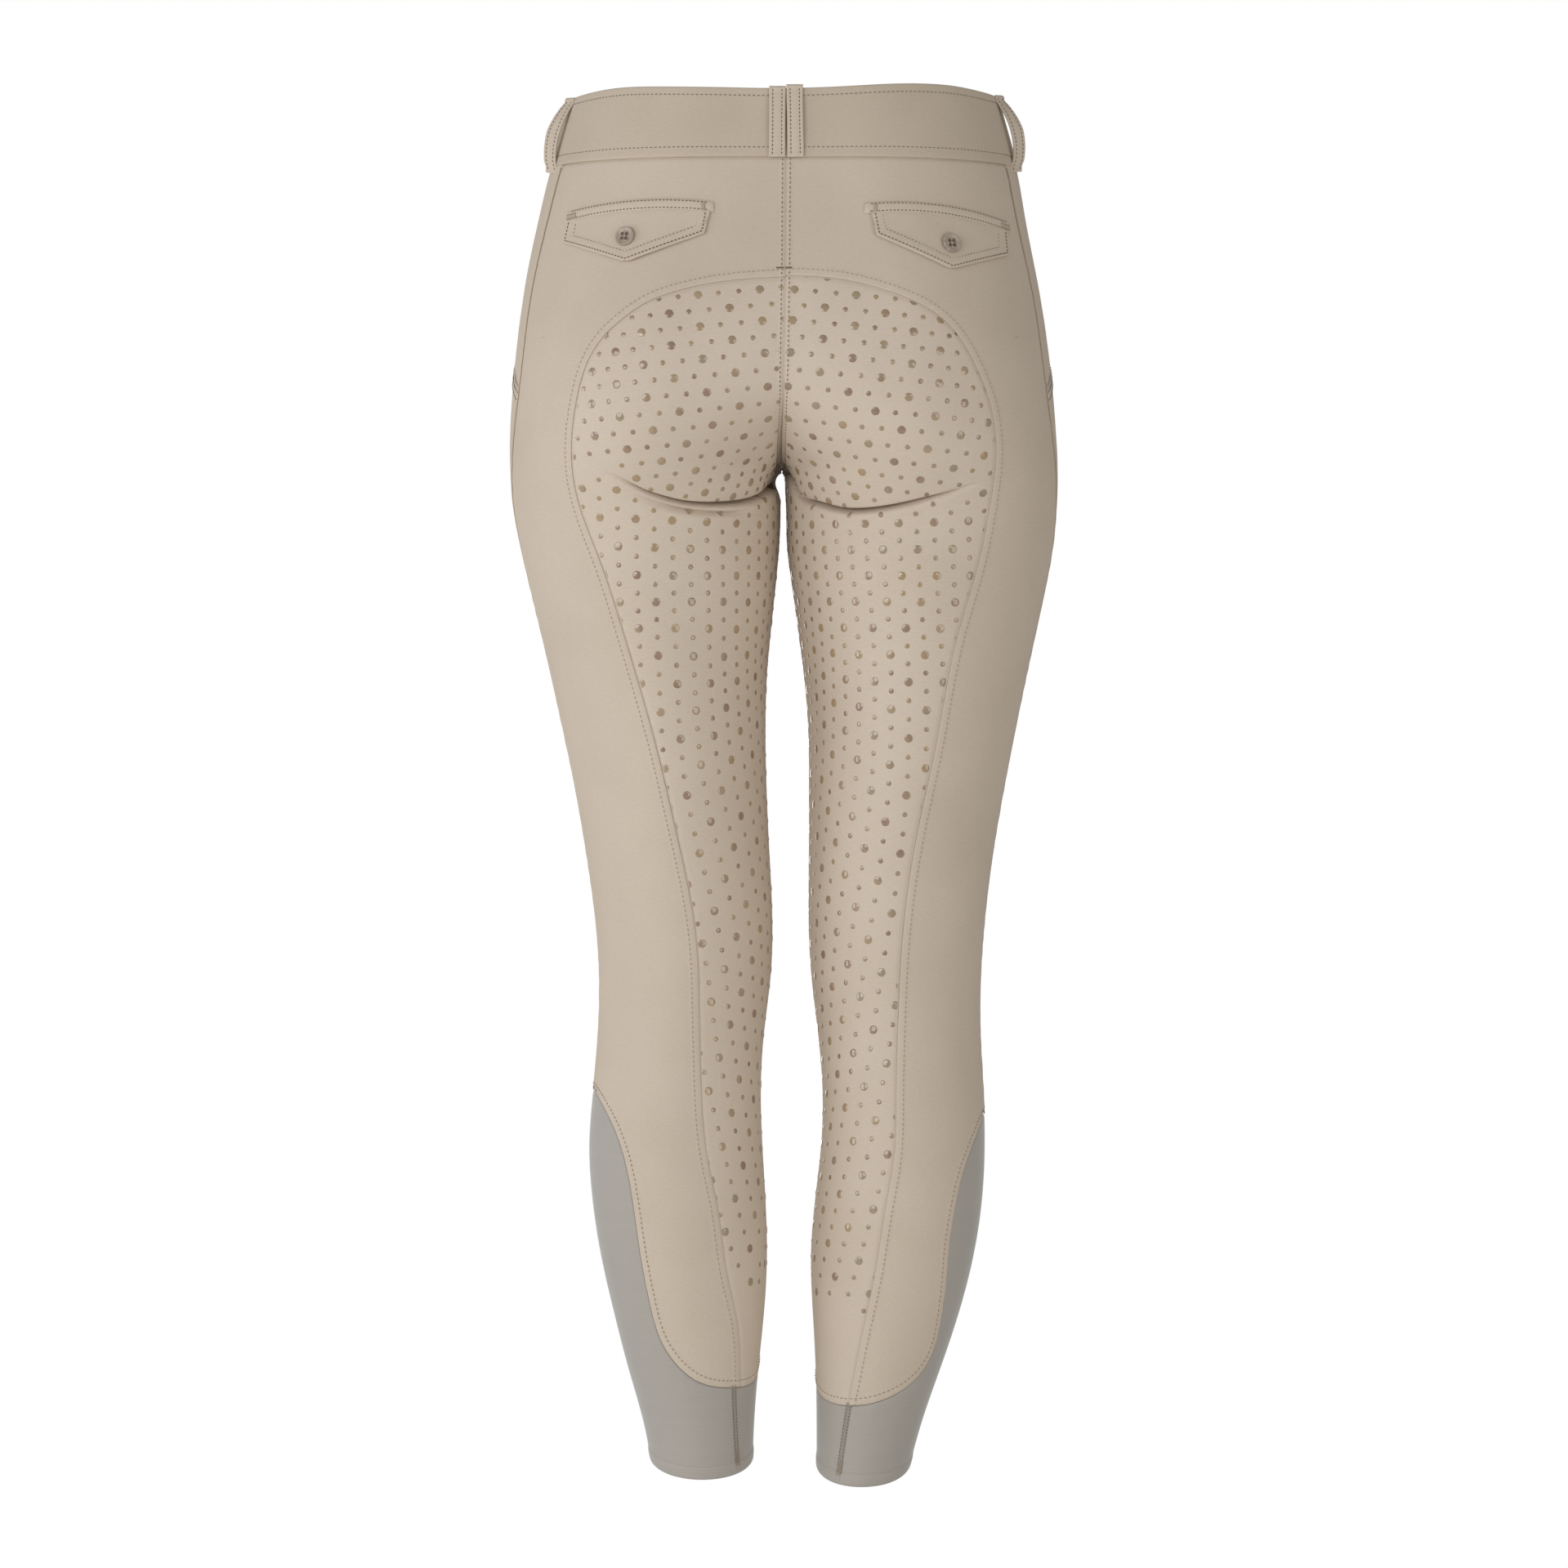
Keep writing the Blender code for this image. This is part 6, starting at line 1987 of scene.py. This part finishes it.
for side in (-1, 1):
    makeBand(side)
for row in loops:
    makeLoop(*row)
print("band and loops ready")
for side in (-1, 1):
    makeWelt(side)
    makeFlap(side)
    x, level = pocketSize[side]["button"]
    makeButton(
        "flapButton" + sideName(side), nodeName("flap_button", side), side,
        float(place(side, x, level)[0]), level, 2 * body["laidGap"] + body["cloth"] + 0.5,
        **buttonMade["flap"], key="pocketSewing" + sideName(side),
    )
makeFly()
makeButton(
    "waistButton", "waist_button", -1, buttonMade["waistTurn"], -body["bandHeight"] / 2,
    body["bandProud"] + body["bandCloth"] + 2 * body["laidGap"],
    **buttonMade["waist"], key="frontSewing",
)
print("pockets, fly and buttons ready")


# Silicone dots of the grip seat: radius and height of the large and small ones.
dots = {
    "radius": (1.78, 2.95),
    "height": (0.30, 0.40),
    "outline": (0.035, 0.5),  # how uneven the edge of a dot is
    "rings": ((0.38, 0.90), (0.70, 0.62), (0.88, 0.36), (0.97, 0.16), (1.0, -0.06)),
    "steps": {"seat": (-2, 16), "thigh": (10, 57)},
    "reach": 14,  # how many dots a row has each way at most
    "corners": 14,
    "forkReach": 12.0,
    "pastSeam": 0.4,  # share of its radius by which a dot may pass a seam and still be printed
    "foldShare": 0.3,
    "foldClear": 1.3,  # free strip beside the fold over the thigh
    "seamClear": 1.0,
    "highest": -120.0,
    "lowest": {-1: -808.0, 1: -826.0},
    "backTurn": 190.0,  # rough length of cloth in one turn at the cleft, and at the outer seam
    "edgeTurn": 160.0,
}
# Guide line of the dots down the middle of each leg's back: step, x and level on both legs.
# The printed rows run on through the cloth that lies in the fold, so seat and thigh have their own.
dotGuides = {
    "seat": (
        (0, 16.2, -139.4, 6.9, -139.5), (3, 34.7, -173.5, 26.0, -172.9),
        (6, 51.5, -208.6, 42.9, -208.2), (9, 65.1, -242.5, 56.5, -242.4),
        (12, 76.4, -271.2, 69.9, -272.8), (15, 85.9, -297.2, 81.5, -301.0),
    ),
    "thigh": (
        (12, 75.9, -256.5, 74.9, -259.3), (15, 75.2, -292.9, 77.0, -294.7),
        (18, 74.5, -330.0, 79.1, -330.1), (21, 73.2, -365.3, 81.9, -365.3),
        (24, 71.8, -402.8, 83.8, -401.5), (27, 69.7, -439.8, 83.8, -439.3),
        (30, 65.4, -477.7, 82.4, -477.7), (33, 57.1, -516.7, 78.5, -517.0),
        (36, 47.1, -555.8, 72.7, -557.4), (39, 40.2, -595.4, 65.8, -597.4),
        (42, 36.5, -632.9, 60.3, -636.1), (45, 30.3, -670.1, 54.1, -674.6),
        (48, 23.6, -706.3, 46.7, -711.5), (51, 17.3, -740.2, 37.7, -747.5),
        (54, 11.4, -774.0, 29.8, -781.0), (57, 6.0, -808.0, 22.0, -815.0),
    ),
}
# Rows of dots by step of the guide: mm along the cloth and fall of level for each dot outwards,
# how much closer they come further out, and the step and fall of each dot inwards.
dotRows = {
    "seat": (
        (0, 14.2, -1.3, 0.14, 14.2, -1.3), (4, 13.9, -1.3, 0.14, 13.9, -1.4),
        (6, 13.8, -1.2, 0.09, 13.8, -1.4), (8, 13.5, -1.1, 0.0, 13.7, -1.6),
        (10, 13.3, -1.4, -0.03, 14.6, -2.1), (12, 13.0, -1.8, -0.03, 14.6, -2.5),
        (15, 12.6, -2.4, 0.0, 14.0, -3.2),
    ),
    "thigh": [
        (step, along, fall, 0, along, fall) for step, along, fall in (
            (12, 12.3, -5.4), (15, 12.2, -5.8), (24, 12.0, -6.2), (30, 11.9, -8.0),
            (39, 11.6, -9.0), (45, 11.3, -10.0), (57, 11.6, -11.5),
        )
    ],
}


def dotPlaces(side, line, part):
    # turn, level and size, 0 small or 1 large, of every dot on one part of a leg
    guide, rows = np.array(dotGuides[part], float), np.array(dotRows[part], float)
    first = 1 if side < 0 else 3
    low, high = dots["steps"][part]
    k = np.arange(low, high + 1)
    x, level = (spline(guide[:, 0], guide[:, first + j])(k) for j in (0, 1))
    for end, near, out in ((0, 1, k < guide[0, 0]), (-1, -2, k > guide[-1, 0])):
        slope = (guide[end] - guide[near]) / (guide[end, 0] - guide[near, 0])
        x[out] = guide[end, first] + slope[first] * (k[out] - guide[end, 0])
        level[out] = guide[end, first + 1] + slope[first + 1] * (k[out] - guide[end, 0])
    each = np.arange(-dots["reach"], dots["reach"] + 1)
    index, across = (both.ravel() for both in np.meshgrid(np.arange(len(k)), each, indexing="ij"))
    outStep, outFall, closer, inStep, inFall = (
        np.interp(k, rows[:, 0], rows[:, j])[index] for j in range(1, 6)
    )
    level = level[index] + across * np.where(across > 0, outFall, inFall)
    reach = np.where(across > 0, across * outStep - closer * across ** 2, across * inStep)
    size = ((across - k[index]) % 3 == 0).astype(int)
    inside = (level < dots["highest"]) & (level > dots["lowest"][side])
    x, level, reach, size = x[index][inside], level[inside], reach[inside], size[inside]
    start = runAtX(side, np.maximum(x, 0.5), level) + np.maximum(0.5 - x, 0)
    turn = turnAtRun(side, start - reach, level)
    inner = np.where(level > crotch, 1.0, 1 + inseamTurn(level))
    radius = np.array(dots["radius"])[size]
    slack = radius * dots["pastSeam"]
    past = slack / dots["backTurn"]
    keep = turn < inner + past
    keep &= (turn > atLevels(line["outlineEdge"], level) - past) | (level > cut["seatCorner"])
    keep &= level < archLevel(line, np.clip(turn, 0, 1)) + slack
    found = surface(side, turn, level)[0]
    overFold = (level - foldLevel(side, side * found[:, 0])) * (1 if part == "seat" else -1)
    keep &= overFold > dots["foldClear"] + dots["foldShare"] * radius
    return turn[keep], level[keep], size[keep]


def archLevel(line, turn):
    arch = line["archLine"]
    return np.interp(-turn, -arch[:, 0], arch[:, 1])


def makeDots(side, line):
    parts = [dotPlaces(side, line, part) for part in ("seat", "thigh")]
    turn, level, size = (np.concatenate(both) for both in zip(*parts))
    radius, height = np.array(dots["radius"])[size], np.array(dots["height"])[size]
    corners, rings = dots["corners"], dots["rings"]
    angles = math.tau * np.arange(corners) / corners
    uneven, phase = dots["outline"]
    spread = 1 + uneven * np.cos(6 * angles + phase)
    shape = [(0.0, 0.0, 1.0)]
    for share, rise in rings:
        shape += [(share * s * math.cos(a), share * s * math.sin(a), rise)
                  for a, s in zip(angles, spread)]
    shape = np.array(shape)
    count = len(shape)
    points, normals, around, down = steadyPlaces(side, turn, level)
    first = around / np.linalg.norm(around, axis=1)[:, None]
    second = np.cross(normals, first)
    offset = (
        first[:, None] * shape[None, :, :1] + second[:, None] * shape[None, :, 1:2]
    ) * radius[:, None, None]
    turnAt, levelAt = slidAlong(turn[:, None], level[:, None], around[:, None], down[:, None], offset)
    # beside the fork the surface bends too fast for slopes, so those dots are set by x and level
    steep = (np.abs(level - crotch - 6) < dots["forkReach"]) & (side * points[:, 0] > 5)
    target = points[steep][:, None] + offset[steep]
    turnAt[steep] = place(side, side * target[..., 0], target[..., 2]).reshape(target.shape[:2])
    levelAt[steep] = target[..., 2]
    rise = shape[None, :, 2] * height[:, None]
    margin = dots["seamClear"]
    inner = 1 + np.where(levelAt > crotch, 0, inseamTurn(levelAt)) - margin / dots["backTurn"]
    turnAt = np.minimum(turnAt, inner)
    edge = atLevels(line["outlineEdge"], levelAt.ravel()).reshape(levelAt.shape)
    edge = np.maximum(turnAt, edge + margin / dots["edgeTurn"])
    turnAt = np.where(levelAt < cut["seatCorner"], edge, turnAt)
    levelAt = np.minimum(levelAt, archLevel(line, np.clip(turnAt, 0, 1)) - margin)
    spots, _ = clothAt(legPanels[side]["seat"], turnAt, levelAt, rise)
    cap = [[0, 1 + k, 1 + (k + 1) % corners] for k in range(corners)]
    cap += gridFaces(len(rings), corners, 1, ring=True)
    cap.append(list(range(count - 1, count - 1 - corners, -1)))
    faces = [[n * count + corner for corner in face] for n in range(len(turn)) for face in cap]
    addPiece("gripDots" + sideName(side), spots.reshape(-1, 3), faces, "silicone", sharp=80)
    print("dots", sideName(side), len(turn))


for side in (-1, 1):
    makeDots(side, legLines[side])
sewThreadEnd()
sewCentreTack()
finishSewing()
print("sewing ready")
